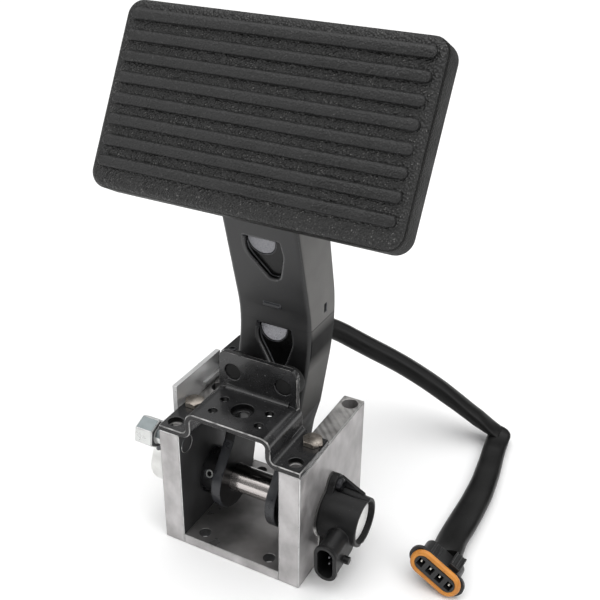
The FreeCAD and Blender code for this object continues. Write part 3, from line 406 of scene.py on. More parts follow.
def makeFinish(name, look):
    finish = bpy.data.materials.new(name)
    finish.use_nodes = True
    tree = finish.node_tree
    shader = tree.nodes["Principled BSDF"]
    shader.inputs["Metallic"].default_value = look.get("metal", 0.0)
    shader.inputs["Specular IOR Level"].default_value = look.get("specular", 0.5)
    shader.inputs["Coat Weight"].default_value = look.get("coat", 0.0)
    shader.inputs["Coat Roughness"].default_value = finishing["coatRough"]
    stretch = look.get("stretch", (1, 1, 1))
    clouds = objectNoise(tree, look["cloudScale"], finishing["cloudDetail"], stretch)
    grain = objectNoise(tree, look["grain"], finishing["grainDetail"], stretch)
    colour = spreadColours(tree, clouds, look["low"], look["high"])
    if "heights" in look:
        colour = blend(tree, None, colour, toneByHeight(tree, look["heights"]), "MULTIPLY")
    if "specks" in look:
        specks = look["specks"]
        spots = objectNoise(tree, specks["scale"], finishing["speckDetail"])
        mask = spreadValue(tree, spots, 0.0, 1.0, specks["start"], specks["start"] + finishing["speckRim"])
        colour = blend(tree, mask, colour, spreadColours(tree, grain, specks["low"], specks["high"]))
    tree.links.new(colour, shader.inputs["Base Color"])
    tree.links.new(spreadValue(tree, clouds, *look["rough"]), shader.inputs["Roughness"])
    bump = addNode(tree, "ShaderNodeBump", {"Strength": look["bump"], "Distance": look["depth"]})
    tree.links.new(grain, bump.inputs["Height"])
    normal = bump.outputs["Normal"]
    if "lines" in look:
        normal = cutterLines(tree, look["lines"], normal)
    tree.links.new(normal, shader.inputs["Normal"])
    return finish


finishes = {name: makeFinish(name, look) for name, look in looks.items()}

# pebbled rubber for the foot pad: round pebbles with pale tops in the field, a finer skin on the ridges
padGrain = {
    "padField": {
        "low": (0.005, 0.005, 0.005), "high": (0.014, 0.014, 0.0137),
        "top": (0.15, 0.148, 0.143), "topStart": 0.36,
        "scale": 860.0, "bump": 1.0, "depth": 0.00075, "rough": (0.40, 0.56), "specular": 0.45,
    },
    "padSide": {
        "low": (0.005, 0.005, 0.0047), "high": (0.011, 0.0108, 0.0102),
        "top": (0.034, 0.033, 0.030), "topStart": 0.22,
        "scale": 1050.0, "bump": 0.9, "depth": 0.00035, "rough": (0.46, 0.64), "specular": 0.14,
    },
    "padRidge": {
        "low": (0.011, 0.011, 0.011), "high": (0.020, 0.020, 0.0202),
        "top": (0.085, 0.084, 0.082), "topStart": 0.30,
        "scale": 1000.0, "bump": 0.9, "depth": 0.00032, "rough": (0.40, 0.54), "specular": 0.36,
    },
}


# what the pad's finishes share; the patches say which pebbles are pale
pebbling = {
    "smoothness": 0.35,
    "topFull": 0.5,         # share of topStart where a top is fully pale
    "cloudScale": 70.0,
    "cloudDetail": 5.0,
    "patchScale": 420.0,
    "patchDetail": 3.0,
    "patchRange": (0.46, 0.70),
}


def makePadFinish(name, look):
    finish = bpy.data.materials.new(name)
    finish.use_nodes = True
    tree = finish.node_tree
    shader = tree.nodes["Principled BSDF"]
    shader.inputs["Specular IOR Level"].default_value = look["specular"]
    coords = addNode(tree, "ShaderNodeTexCoord")
    pebbles = addNode(tree, "ShaderNodeTexVoronoi", {"Scale": look["scale"], "Randomness": 1.0})
    pebbles.feature = "SMOOTH_F1"
    pebbles.inputs["Smoothness"].default_value = pebbling["smoothness"]
    tree.links.new(coords.outputs["Object"], pebbles.inputs["Vector"])
    clouds = objectNoise(tree, pebbling["cloudScale"], pebbling["cloudDetail"])
    patches = objectNoise(tree, pebbling["patchScale"], pebbling["patchDetail"])
    colour = spreadColours(tree, clouds, look["low"], look["high"])
    start = look["topStart"]
    tops = spreadValue(tree, pebbles.outputs["Distance"], 1.0, 0.0, pebbling["topFull"] * start, start)
    pale = spreadColours(tree, patches, look["high"], look["top"], *pebbling["patchRange"])
    colour = blend(tree, tops, colour, pale)
    tree.links.new(colour, shader.inputs["Base Color"])
    tree.links.new(spreadValue(tree, clouds, *look["rough"]), shader.inputs["Roughness"])
    bump = addNode(tree, "ShaderNodeBump", {"Strength": look["bump"], "Distance": look["depth"]})
    bump.invert = True
    tree.links.new(pebbles.outputs["Distance"], bump.inputs["Height"])
    tree.links.new(bump.outputs["Normal"], shader.inputs["Normal"])
    return finish


finishes.update({name: makePadFinish(name, look) for name, look in padGrain.items()})
print("finishes made:", len(finishes))


def addPiece(name, mesh, node, finishNames=()):
    piece = bpy.data.objects.new(name, mesh)
    bpy.context.scene.collection.objects.link(piece)
    for finish in finishNames:
        mesh.materials.append(finishes[finish])
    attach(piece, bodyOf[node])
    return piece


def smoothWithWeights(piece):
    for face in piece.data.polygons:
        face.use_smooth = True
    weights = piece.modifiers.new("flatFaces", "WEIGHTED_NORMAL")
    weights.keep_sharp = True


# front of the arm's web, with its bend, and the two scoops in it
web = {
    "bend": (14.6 * mm, 120.4 * mm),
    "upperLean": 14.7,
    "lowerLean": 21.2,
    "bendRadius": 64.0 * mm,
    "arcMiddle": (-52.56 * mm, 124.22 * mm),
    "arcLow": 101.1 * mm,
    "arcHigh": 140.4 * mm,
    "scoopTops": (182.4 * mm, 125.6 * mm),
    "scoopDrop": 24.6 * mm,
    "scoopHalf": 12.0 * mm,
    "scoopOver": 0.3 * mm,
    "rim": 1.5 * mm,
}


def webFront(height):
    bendY, bendZ = web["bend"]
    if height > web["arcHigh"]:
        return bendY - (height - bendZ) * math.tan(math.radians(web["upperLean"]))
    if height < web["arcLow"]:
        return bendY - (bendZ - height) * math.tan(math.radians(web["lowerLean"]))
    middleY, middleZ = web["arcMiddle"]
    return middleY + math.sqrt(web["bendRadius"] ** 2 - (height - middleZ) ** 2)


def nearScoop(point, nearest, furthest):
    depth = point.y - webFront(point.z)
    inside = any(top - web["scoopDrop"] < point.z < top + web["scoopOver"] for top in web["scoopTops"])
    return inside and abs(point.x) < web["scoopHalf"] and nearest < depth < furthest


# where some pieces change their finish, and the edges that get a painted highlight and wear
limits = {
    "sheetFront": -38.8 * mm,
    "holeWallFront": -38 * mm,
    "holeWallArea": 4 * mm * mm,
    "floorHalfWidth": 29 * mm,
    "floorHalfLength": 38 * mm,
    "flangeLow": 78 * mm,
    "leverTop": 68 * mm,
    "scoopNear": 0.5 * mm,
    "scoopFar": 12 * mm,
    "longEdge": 3 * mm,
    "boltHead": -46 * mm,
    # share of a face's normal along an axis
    "facing": 0.9,
    "squareOn": 0.95,
    "leaning": 0.2,
    "upright": 0.1,
}


def middle(face):
    return face.calc_center_median()


def inFloorHole(face):
    place = middle(face)
    inside = abs(place.x) < limits["floorHalfWidth"] and abs(place.y) < limits["floorHalfLength"]
    return inside and abs(face.normal.z) < limits["upright"]


def inSheetHole(face):
    small = face.calc_area() < limits["holeWallArea"] and middle(face).y > limits["holeWallFront"]
    return small and abs(face.normal.z) < limits["upright"]


def onLever(face):
    return middle(face).z < limits["leverTop"]


def onSheetFront(face):
    return face.normal.y < -limits["squareOn"] and middle(face).y < limits["sheetFront"]


def facesRight(face):
    return face.normal.x > limits["facing"]


def facesLeft(face):
    return face.normal.x < -limits["facing"]


def facesUp(face):
    return face.normal.z > limits["facing"]


# faces that look different from the rest of their piece, by place and direction; most of them are painted
# shade, painted highlights and painted reflections
facings = {
    "spring_anchor_bolt": [
        # painted reflection on the bolt's upward faces, painted shade on its inner end
        ("paintedReflectionZinc", lambda face: face.normal.z > limits["leaning"]),
        ("paintedShadeAluminium", facesRight),
    ],
    # painted light on the strap's inner face
    "switch_bracket": [("strapPaintedLight", facesRight)],
    # painted shade on the plates' inner faces
    "left_side_plate": [("paintedShadeAluminium", facesRight), ("cutterAluminium", facesUp)],
    "right_side_plate": [("paintedShadeAluminium", facesLeft), ("cutterAluminium", facesUp)],
    # painted shade on the base plate's top and in its holes
    "base_plate": [("paintedShadeFloorAluminium", facesUp), ("paintedShadeAluminium", inFloorHole)],
    # painted shade on the walls of the bracket's holes
    "top_bracket": [("sheetSection", onSheetFront), ("paintedShadeBlack", inSheetHole)],
    "pedal_arm": [
        # painted reflection on the arm's right flange
        ("flangePaintedReflection", lambda face: facesRight(face) and middle(face).z > limits["flangeLow"]),
        # painted highlight on the levers' rims
        ("paintedHighlightBlack", onLever),
        # painted shade on the levers' sides
        ("paintedShadeBlack", lambda face: onLever(face) and (facesLeft(face) or facesRight(face))),
        # painted shade in the scoops
        ("scoopPaintedShade", lambda face: nearScoop(middle(face), limits["scoopNear"], limits["scoopFar"])),
    ],
}


# edges with a lighter finish, a painted highlight and on the bracket also wear: long straight ones and the
# whole front profile, not the rims of holes
def onOutline(edge):
    front = all(end.co.y < limits["sheetFront"] for end in edge.verts)
    return front or edge.calc_length() > limits["longEdge"]


def onBoltHead(edge):
    return all(end.co.x < limits["boltHead"] for end in edge.verts)


wearAndHighlightAlong = {
    "top_bracket": onOutline,
    "left_side_plate": onOutline,
    "right_side_plate": onOutline,
    "base_plate": onOutline,
    "spring_anchor_bolt": onBoltHead,
}


# how the copies are cleaned and rounded; angles in degrees
dressing = {
    "mergeGap": 0.002 * mm,
    "flatAngle": 0.4,
    "sharpAngle": 32.0,
    "edgeSteps": 2,
    "rimSteps": 6,
    "rimReach": 0.3 * mm,
}


# a copy of a CAD node with its sharp edges rounded, and its own finish on the rounded edge
def dressNode(node, finish, edge, edgeFinish):
    work = bmesh.new()
    work.from_mesh(frame["nodes"][node].data)
    bmesh.ops.remove_doubles(work, verts=work.verts, dist=dressing["mergeGap"])
    flat = math.radians(dressing["flatAngle"])
    bmesh.ops.dissolve_limit(work, angle_limit=flat, verts=work.verts, edges=work.edges)
    names = [finish]
    for face in work.faces:
        face.material_index = 0
    for facing, test in facings.get(node, ()):
        names.append(facing)
        for face in work.faces:
            if test(face):
                face.material_index = len(names) - 1
    if edgeFinish:
        names.append(edgeFinish)

    def sharpEdges():
        limit = math.radians(dressing["sharpAngle"])
        joined = [item for item in work.edges if len(item.link_faces) == 2]
        return [item for item in joined if item.calc_face_angle(0) > limit]

    def roundOff(chosen, offset, steps, index):
        bmesh.ops.bevel(
            work, geom=chosen, offset=offset, offset_type="OFFSET", segments=steps, profile=0.5,
            affect="EDGES", clamp_overlap=False, material=index, loop_slide=True,
        )

    steps = dressing["edgeSteps"]
    if node == "pedal_arm":
        reach = dressing["rimReach"]
        rims = [item for item in sharpEdges() if all(nearScoop(end.co, -reach, reach) for end in item.verts)]
        # the scoops' rounded lips get a painted highlight
        names.append("scoopLipHighlight")
        roundOff(rims, web["rim"], dressing["rimSteps"], len(names) - 1)
    # the chosen edges get the edge finish: a painted highlight, with wear on the bracket
    if node in wearAndHighlightAlong:
        wearAndHighlightEdges = [item for item in sharpEdges() if wearAndHighlightAlong[node](item)]
        roundOff(wearAndHighlightEdges, edge, steps, names.index(edgeFinish))
        edgeFinish = None       # the other edges keep the finish of their faces
    roundOff(sharpEdges(), edge, steps, names.index(edgeFinish) if edgeFinish else -1)
    mesh = bpy.data.meshes.new(node + "_dressed")
    work.to_mesh(mesh)
    work.free()
    piece = addPiece(node + "_dressed", mesh, node, names)
    smoothWithWeights(piece)
    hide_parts(node)


dressed = {
    # node: finish, edge in mm, finish of the edge; the edge finishes are painted highlights on the rounded
    # edges, on the bracket with wear
    "left_side_plate": ("milledAluminium", 0.45, "paintedHighlightEdge"),
    "right_side_plate": ("milledAluminium", 0.45, "paintedHighlightEdge"),
    "base_plate": ("milledAluminium", 0.40, "paintedHighlightEdge"),
    "top_bracket": ("glossBlackPaint", 0.45, "wornEdgeAndHighlight"),
    "bracket_weld_nut": ("glossBlackPaint", 0.4, None),
    "stop_bumper_left": ("bumperRubber", 0.4, None),
    "stop_bumper_right": ("bumperRubber", 0.4, None),
    "pedal_arm": ("satinArmPaint", 0.6, "paintedHighlightBlack"),
    "arm_inner_plate": ("fleckedGreyPlate", 0.15, None),
    "pad_backing_plate": ("glossBlackPaint", 0.4, None),
    "pivot_shaft": ("groundShaft", 0.5, None),
    "left_bush": ("sinterBronze", 0.3, None),
    "right_bush": ("sinterBronze", 0.3, None),
    "left_collar": ("turnedSteel", 0.5, "paintedHighlightBlack"),
    "right_collar": ("turnedSteel", 0.5, "paintedHighlightBlack"),
    "spring_cup": ("paleZinc", 0.8, None),
    "spring_arbor": ("turnedSteel", 0.3, None),
    "spring_anchor_bolt": ("brightZinc", 0.5, "paintedHighlightEdge"),
    "sensor_gasket": ("gasketSheet", 0.1, None),
    "sensor_housing": ("mouldedPlastic", 0.5, None),
    "sensor_label": ("blankLabel", 0.1, None),
    "sensor_rotor": ("mouldedPlastic", 0.3, None),
    "switch_bracket": ("strapAluminium", 0.3, "paintedHighlightEdge"),
    "switch_body": ("mouldedPlastic", 0.6, None),
    "cable_gland": ("mouldedPlastic", 0.8, None),
    "connector_body": ("plugPlastic", 0.3, None),
    "connector_lock": ("plugPlastic", 0.6, None),
}
for node, (finish, edge, edgeFinish) in dressed.items():
    dressNode(node, finish, edge * mm, edgeFinish)
print("nodes dressed:", len(dressed))

springMesh = frame["nodes"]["return_spring"].data
springMesh.materials.clear()
springMesh.materials.append(finishes["springWire"])


# shared by the lofted pieces; the angle in degrees
lofting = {
    "leastCorner": 0.2 * mm,
    "mergeGap": 0.001 * mm,
    "sharpAngle": 38.0,
}


def outline(width, length, corner, inset, height, steps):
    radius = max(corner - inset, lofting["leastCorner"])
    halfX = width / 2 - inset - radius
    halfY = length / 2 - inset - radius
    points = []
    for quarter, (signX, signY) in enumerate(((1, 1), (-1, 1), (-1, -1), (1, -1))):
        for step in range(steps + 1):
            angle = math.pi / 2 * (quarter + step / steps)
            x = signX * halfX + radius * math.cos(angle)
            y = signY * halfY + radius * math.sin(angle)
            points.append((x, y, height))
    return points


def loft(rings, closed=False):
    work = bmesh.new()
    levels = [[work.verts.new(point) for point in ring] for ring in rings]
    count = len(levels[0])
    pairs = list(zip(levels, levels[1:])) + ([(levels[-1], levels[0])] if closed else [])
    for below, above in pairs:
        for index in range(count):
            after = (index + 1) % count
            work.faces.new((below[index], below[after], above[after], above[index]))
    if not closed:
        work.faces.new(list(reversed(levels[0])))
        work.faces.new(levels[-1])
    bmesh.ops.remove_doubles(work, verts=work.verts, dist=lofting["mergeGap"])
    bmesh.ops.recalc_face_normals(work, faces=work.faces)
    for face in work.faces:
        face.smooth = True
    mesh = bpy.data.meshes.new("loft")
    work.to_mesh(mesh)
    work.free()
    mesh.set_sharp_from_angle(angle=math.radians(lofting["sharpAngle"]))
    return mesh


def joinMeshes(meshes):
    work = bmesh.new()
    finishList = []
    for mesh in meshes:
        known = len(work.faces)
        work.from_mesh(mesh)
        work.faces.ensure_lookup_table()
        for face in work.faces[known:]:
            finish = mesh.materials[face.material_index]
            if finish not in finishList:
                finishList.append(finish)
            face.material_index = finishList.index(finish)
    joined = bpy.data.meshes.new("joined")
    work.to_mesh(joined)
    work.free()
    for finish in finishList:
        joined.materials.append(finish)
    return joined


def lineOfPieces():
    # copies of one piece along a straight line, made solid and given one finish
    tree = bpy.data.node_groups.new("lineOfPieces", "GeometryNodeTree")
    sockets = {}
    for name, kind in (
        ("Piece", "NodeSocketObject"), ("Count", "NodeSocketInt"), ("Start", "NodeSocketVector"),
        ("Step", "NodeSocketVector"), ("Finish", "NodeSocketMaterial"),
    ):
        sockets[name] = tree.interface.new_socket(name=name, in_out="INPUT", socket_type=kind).identifier
    tree.interface.new_socket(name="Shape", in_out="OUTPUT", socket_type="NodeSocketGeometry")
    nodes, links = tree.nodes, tree.links
    start, end = nodes.new("NodeGroupInput"), nodes.new("NodeGroupOutput")
    line = nodes.new("GeometryNodeMeshLine")
    links.new(start.outputs["Count"], line.inputs["Count"])
    links.new(start.outputs["Start"], line.inputs["Start Location"])
    links.new(start.outputs["Step"], line.inputs["Offset"])
    info = nodes.new("GeometryNodeObjectInfo")
    links.new(start.outputs["Piece"], info.inputs["Object"])
    copies = nodes.new("GeometryNodeInstanceOnPoints")
    links.new(line.outputs["Mesh"], copies.inputs["Points"])
    links.new(info.outputs["Geometry"], copies.inputs["Instance"])
    solid = nodes.new("GeometryNodeRealizeInstances")
    links.new(copies.outputs["Instances"], solid.inputs["Geometry"])
    paint = nodes.new("GeometryNodeSetMaterial")
    links.new(solid.outputs["Geometry"], paint.inputs["Geometry"])
    links.new(start.outputs["Finish"], paint.inputs["Material"])
    links.new(paint.outputs["Geometry"], end.inputs["Shape"])
    return tree, sockets


lineTree, lineSockets = lineOfPieces()


def bakeNodes(holder):
    graph = bpy.context.evaluated_depsgraph_get()
    return bpy.data.meshes.new_from_object(holder.evaluated_get(graph))


def repeatInLine(mesh, count, start, step, finish):
    piece = bpy.data.objects.new("repeated", mesh)
    holder = bpy.data.objects.new("holder", bpy.data.meshes.new("holder"))
    for made in (piece, holder):
        bpy.context.scene.collection.objects.link(made)
    line = holder.modifiers.new("line", "NODES")
    line.node_group = lineTree
    inputs = {"Piece": piece, "Count": count, "Start": start, "Step": step, "Finish": finishes[finish]}
    for name, value in inputs.items():
        line[lineSockets[name]] = value
    result = bakeNodes(holder)
    bpy.data.objects.remove(holder)
    bpy.data.objects.remove(piece)
    return result


# forms that the screws share: lengths in metres, the rest in shares of the head or the drive
screwForm = {
    "ringSteps": 48,        # points round a screw, also where it is hexagonal
    "tipInset": 0.4 * mm,
    "tipLength": 0.5 * mm,
    "hexTop": 0.485,
    "hexFall": 0.58,        # slope of the chamfer on a hexagon's corners
    "hexMiddle": 0.2 * mm,
    "washer": 0.46,
    "washerRise": 0.25 * mm,
    "panSide": [(1.0, 0.5), (0.95, 0.78), (0.82, 0.95), (0.66, 1.0)],       # radius, height
    "panSocket": 0.6,
    "setChamfer": 0.35 * mm,
    "setSocket": 3 * mm,
    "sunkEdge": 0.15 * mm,
    "sunkInset": 0.1 * mm,
    "sunkSocket": 1.2 * mm,
    "driveFloor": 1.03,
    "driveFloorHeights": (-0.9 * mm, -0.5 * mm),
}
ringTurns = [2 * math.pi * step / screwForm["ringSteps"] for step in range(screwForm["ringSteps"])]


def roundRing(radius, height):
    return [(radius * math.cos(turn), radius * math.sin(turn), height) for turn in ringTurns]


def hexRing(across, height, chamfer=None):
    points = []
    for turn in ringTurns:
        reach = across / 2 / math.cos(turn % (math.pi / 3) - math.pi / 6)
        fall = max(0, reach - chamfer) * screwForm["hexFall"] if chamfer else 0
        points.append((reach * math.cos(turn), reach * math.sin(turn), height - fall))
    return points


def shankRings(size, length):
    tip = roundRing(size / 2 - screwForm["tipInset"], -length)
    return [tip, roundRing(size / 2, screwForm["tipLength"] - length)]


def hexBolt(look):
    across, height, size = look["head"], look["height"], look["shank"]
    top, washer, rise = screwForm["hexTop"] * across, screwForm["washer"] * across, screwForm["washerRise"]
    rings = shankRings(size, look["length"]) + [
        roundRing(size / 2, 0), roundRing(washer, 0), roundRing(washer, rise), hexRing(across, rise),
        hexRing(across, height, top), roundRing(top, height), roundRing(screwForm["hexMiddle"], height),
    ]
    return loft(rings)


def socketRings(across, height, depth):
    return [hexRing(across, height), hexRing(across, height - depth)]


def driveFloor(across, height):
    # painted shade: a dark piece at the bottom of a drive socket
    wide = screwForm["driveFloor"] * across
    return loft([hexRing(wide, height + rise) for rise in screwForm["driveFloorHeights"]])


def panScrew(look):
    half, height, size = look["head"] / 2, look["height"], look["shank"]
    rings = shankRings(size, look["length"]) + [roundRing(size / 2, 0), roundRing(half, 0)]
    rings += [roundRing(across * half, rise * height) for across, rise in screwForm["panSide"]]
    return loft(rings + socketRings(look["drive"], height, screwForm["panSocket"] * height))


def setScrew(look):
    size = look["shank"]
    chamfer = screwForm["setChamfer"]
    rings = shankRings(size, look["length"])
    rings += [roundRing(size / 2, -chamfer), roundRing(size / 2 - chamfer, 0)]
    return loft(rings + socketRings(look["drive"], 0, screwForm["setSocket"]))


def sunkScrew(look):
    half, size = look["head"] / 2, look["shank"]
    rings = shankRings(size, look["length"]) + [
        roundRing(size / 2, size / 2 - half), roundRing(half, -screwForm["sunkEdge"]),
        roundRing(half - screwForm["sunkInset"], 0),
    ]
    return loft(rings + socketRings(look["drive"], 0, screwForm["sunkSocket"]))


# screws: shape, sizes in mm, seat of the first one, way out of the seat, step to the next, count and finish
screws = {
    "bracket_bolts": {
        "shape": hexBolt, "head": 10, "height": 3.0, "shank": 6, "length": 18,
        "seats": [(-36.9, -13.15, 78.2)],
        "way": (0, 0, 1), "step": (73.8, 0, 0), "count": 2, "finish": "warmNickel",
    },
    "collar_set_screws": {
        "shape": setScrew, "shank": 5, "length": 5.41, "drive": 3.0, "seats": [(-25.325, -19.09, 37.48)],
        "way": (0, -0.891, 0.454), "step": (50.65, 0, 0), "count": 2, "finish": "brightZinc",
    },
    "sensor_screws": {
        "shape": panScrew, "head": 7.4, "height": 2.8, "shank": 4, "length": 14, "drive": 3.2,
        "seats": [(48.25, -11.263, 14.905)], "way": (1, 0, 0), "step": (0, 8.226, 32.99), "count": 2,
        "finish": "darkSteel",
    },
    "switch_bracket_screws": {
        "shape": panScrew, "head": 9, "height": 2.6, "shank": 5, "length": 12, "drive": 4.0,
        "seats": [(-46.25, -1, 62)],
        "way": (-1, 0, 0), "step": (0, 20.5, 0), "count": 2, "finish": "brightZinc",
    },
    "switch_screws": {
        "shape": panScrew, "head": 5.4, "height": 1.8, "shank": 3, "length": 13.4, "drive": 2.4,
        "seats": [(-37.05, 27.5, 91.0)],
        "way": (0, 0, 1), "step": (0, 14, 0), "count": 2, "finish": "darkSteel",
    },
    "base_screws": {
        "shape": sunkScrew, "head": 5.4, "shank": 3, "length": 24, "drive": 2.0,
        "seats": [(-43.25, 12, 3), (43.25, 12, 3)],
        "way": (-1, 0, 0), "step": (0, -18, 0), "count": 2, "finish": "darkSteel",
    },
}


def makeScrews(node, look):
    sizes = {key: look[key] * mm for key in ("head", "height", "shank", "length", "drive") if key in look}
    rows = []
    for seat in look["seats"]:
        way = Vector(look["way"])
        if len(look["seats"]) > 1 and seat[0] > 0:
            way = -way      # the far row faces the other way
        made = [(look["shape"](sizes), look["finish"])]
        if "drive" in sizes:
            made.append((driveFloor(sizes["drive"], sizes.get("height", 0)), "paintedShadeBlack"))
        for mesh, finish in made:
            mesh.transform(Vector((0, 0, 1)).rotation_difference(way).to_matrix().to_4x4())
            start, step = Vector(seat) * mm, Vector(look["step"]) * mm
            rows.append(repeatInLine(mesh, look["count"], start, step, finish))
    piece = addPiece(node + "_set", joinMeshes(rows), node)
    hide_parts(node)


for node, look in screws.items():
    makeScrews(node, look)
print("screws made:", len(screws))

# foot pad, in its own frame: Y up the pad, Z out of its face
pad = {
    "middle": (0, -8.75 * mm, 248.22 * mm),
    "tilt": 28.55,
    "width": 169.6 * mm,
    "length": 95.8 * mm,
    "corner": 9.0 * mm,
    "thickness": 18 * mm,
    "cornerSteps": 10,
    "edge": 3.8 * mm,
    "edgeSteps": 8,
    "draft": 0.4 * mm,
    "backEdge": 1.0 * mm,
    "sideSlope": 0.55,      # a face whose normal leans out less than this has the side's finish
    "recess": 4.0 * mm,
    "recessInset": 7.6 * mm,
    "ridgeCount": 8,
    "ridgePitch": 10.5 * mm,
    "ridgeRise": 2.6 * mm,
    "ridgeLength": 159.3 * mm,
    "ridgeWidth": 6.2 * mm,
    "ridgeHeight": 2.2 * mm,
    "ridgeSteps": 6,
    # up the side of a ridge, in shares of its height and width: height, inset below, inset above
    "ridgeSide": [
        (-0.45, 0, 0), (0, 0, 0), (0.55, 0.02, 0.10),
        (0.82, 0.06, 0.20), (0.95, 0.13, 0.30), (1.0, 0.24, 0.42),
    ],
}


def quarterRound(inset, height, radius, steps):
    rounded = []
    for step in range(steps + 1):
        angle = math.pi / 2 * step / steps
        rounded.append((inset + radius * (1 - math.cos(angle)), height + radius * math.sin(angle)))
    return rounded


def padBody():
    back, front = -pad["thickness"], -pad["ridgeHeight"]
    edge, backEdge = pad["edge"], pad["backEdge"]
    profile = [(pad["recessInset"], back + pad["recess"]), (pad["recessInset"], back)]
    profile += [(backEdge, back), (0.3 * backEdge, back + 0.3 * backEdge), (0, back + backEdge)]
    profile += quarterRound(pad["draft"], front - edge, edge, pad["edgeSteps"])
    sizes = pad["width"], pad["length"], pad["corner"]
    return loft([outline(*sizes, inset, height, pad["cornerSteps"]) for inset, height in profile])


def padRidge():
    rings = []
    for height, below, above in pad["ridgeSide"]:
        wide = pad["ridgeWidth"] * (1 - below - above)
        shift = pad["ridgeWidth"] * (below - above) / 2
        long = pad["ridgeLength"] - 2 * pad["ridgeWidth"] * below
        ring = outline(long, wide, wide / 2, 0, pad["ridgeHeight"] * (height - 1), pad["ridgeSteps"])
        rings.append([(x, y + shift, z) for x, y, z in ring])
    return loft(rings)


def makePad():
    body = padBody()
    body.materials.append(finishes["padField"])
    body.materials.append(finishes["padSide"])
    for face in body.polygons:
        face.material_index = 1 if abs(face.normal.z) < pad["sideSlope"] else 0
    first = pad["ridgeRise"] - pad["ridgePitch"] * (pad["ridgeCount"] - 1) / 2
    ridges = repeatInLine(padRidge(), pad["ridgeCount"], (0, first, 0), (0, pad["ridgePitch"], 0), "padRidge")
    mesh = joinMeshes([body, ridges])
    lean = Matrix.Rotation(math.radians(90 - pad["tilt"]), 4, "X")
    mesh.transform(Matrix.Translation(pad["middle"]) @ lean)
    piece = addPiece("pad_rubber_moulding", mesh, "pad_rubber")
    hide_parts("pad_rubber")


makePad()
print("foot pad made")

# position sensor's contacts and the lip round its socket, along the socket's own axes
socket = {
    "root": (57.4 * mm, -6.755 * mm, 23.86 * mm),
    "pitch": 3.0,
    "reach": 30.3 * mm,
    "long": 22.7 * mm,
    "short": 11.9 * mm,
    "lip": 0.6 * mm,
    "lipDepth": 2.2 * mm,
    "wall": 1.6 * mm,
    "cornerSteps": 8,
    "pinCount": 3,
    "pinSize": 1.5 * mm,
    "pinPitch": 4.6 * mm,
    "pinStart": 14.7 * mm,
    "pinEnd": 25.3 * mm,
}


def turned(along, across, out, origin):
    return Matrix.Translation(origin) @ Matrix((along, across, out)).transposed().to_4x4()


def blade(width, depth, low, high, nose):
    # inset and height up to a rounded nose
    sizes = [(0, low), (0, high - 2 * nose), (0.3 * nose, high - 0.7 * nose), (nose, high)]
    return loft([outline(width, depth, 0.2 * min(width, depth), inset, height, 3) for inset, height in sizes])


def makeSensorParts():
    pitch = math.radians(socket["pitch"])
    up = Vector((0, -math.sin(pitch), math.cos(pitch)))
    out = Vector((0, -math.cos(pitch), -math.sin(pitch)))
    place = turned(up, Vector((-1, 0, 0)), out, socket["root"])
    size, count, step = socket["pinSize"], socket["pinCount"], socket["pinPitch"]
    pin = blade(size, size, socket["pinStart"], socket["pinEnd"], 0.35 * size)
    pins = repeatInLine(pin, count, (-step * (count - 1) / 2, 0, 0), (step, 0, 0), "springWire")
    pins.transform(place)
    piece = addPiece("sensor_pin_set", pins, "sensor_pins")
    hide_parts("sensor_pins")
    high = socket["reach"]
    low = high - socket["lipDepth"]
    lip, wall = socket["lip"], socket["wall"]
    # round the lip's section: inset from the socket's outline, distance out
    section = [
        (0, low), (-0.7 * lip, low), (-lip, low + 0.4 * lip), (-lip, high - 0.5 * lip), (-0.5 * lip, high),
        (0.7 * wall, high), (0.95 * wall, high - 0.3 * lip), (0.95 * wall, low),
    ]
    sizes = socket["long"], socket["short"], socket["short"] / 2
    ring = loft([outline(*sizes, *point, socket["cornerSteps"]) for point in section], closed=True)
    ring.transform(place)
    addPiece("sensor_socket_lip", ring, "sensor_housing", ["mouldedPlastic"])


makeSensorParts()
print("sensor parts made")

# plug at the cable's end: its place, then the seal, contacts and ribs along its own axes
plug = {
    "nose": (107.8 * mm, -6.7 * mm, 12.813 * mm),
    "heading": -4.7,
    "roll": 26.0,
    "pitch": 15.0,
    "sealLong": 31.0 * mm,
    "sealShort": 14.6 * mm,
    "cornerSteps": 10,
    # section of the seal in mm: inset from its outline, height from the nose
    "sealSection": [
        (1.5, 0.0), (0.75, -0.2), (0.2, -0.75), (0, -1.5), (0.05, -2.3), (0.5, -3.1), (1.2, -3.45),
        (3.05, -3.45), (3.05, -0.7), (2.75, -0.25), (2.2, -0.02),
    ],
    "contactPitch": 6.2 * mm,
    "contactCount": 4,
    "contactWidth": 1.6 * mm,
    "contactDepth": 2.0 * mm,
    "contactLow": -8.0 * mm,
    "contactHigh": -1.6 * mm,
    "bodyRear": 20.0 * mm,
    "cableRun": 5.0 * mm,
    # ribs on the body and on its stem, in mm
    "ribs": {"count": 3, "start": (3.4, 8.4, -13), "step": (2.7, 0, 0), "size": (1.0, 0.9), "length": 12.6},
    "stem": {"count": 2, "start": (-8, 4.4, -12.5), "step": (3.6, 0, 0), "size": (1.6, 1.4), "length": 12},
}


def plugAxes():
    heading, roll, pitch = (math.radians(plug[key]) for key in ("heading", "roll", "pitch"))
    level = Vector((math.cos(heading), math.sin(heading), 0))
    along = level * math.cos(roll) - Vector((0, 0, math.sin(roll)))
    upright = level * math.sin(roll) + Vector((0, 0, math.cos(roll)))
    ahead = along.cross(upright)
    across = upright * math.cos(pitch) - ahead * math.sin(pitch)
    return along, across, ahead * math.cos(pitch) + upright * math.sin(pitch)


def plugRibs(look):
    wide, tall = (size * mm for size in look["size"])
    half = look["length"] * mm / 2
    rib = loft([outline(wide, tall, 0.45 * tall, inset, height, 4) for inset, height in (
        (0.3 * tall, -half), (0, -half + 0.3 * tall), (0, half - 0.3 * tall), (0.3 * tall, half),
    )])
    start, step = Vector(look["start"]) * mm, Vector(look["step"]) * mm
    return repeatInLine(rib, look["count"], start, step, "plugPlastic")


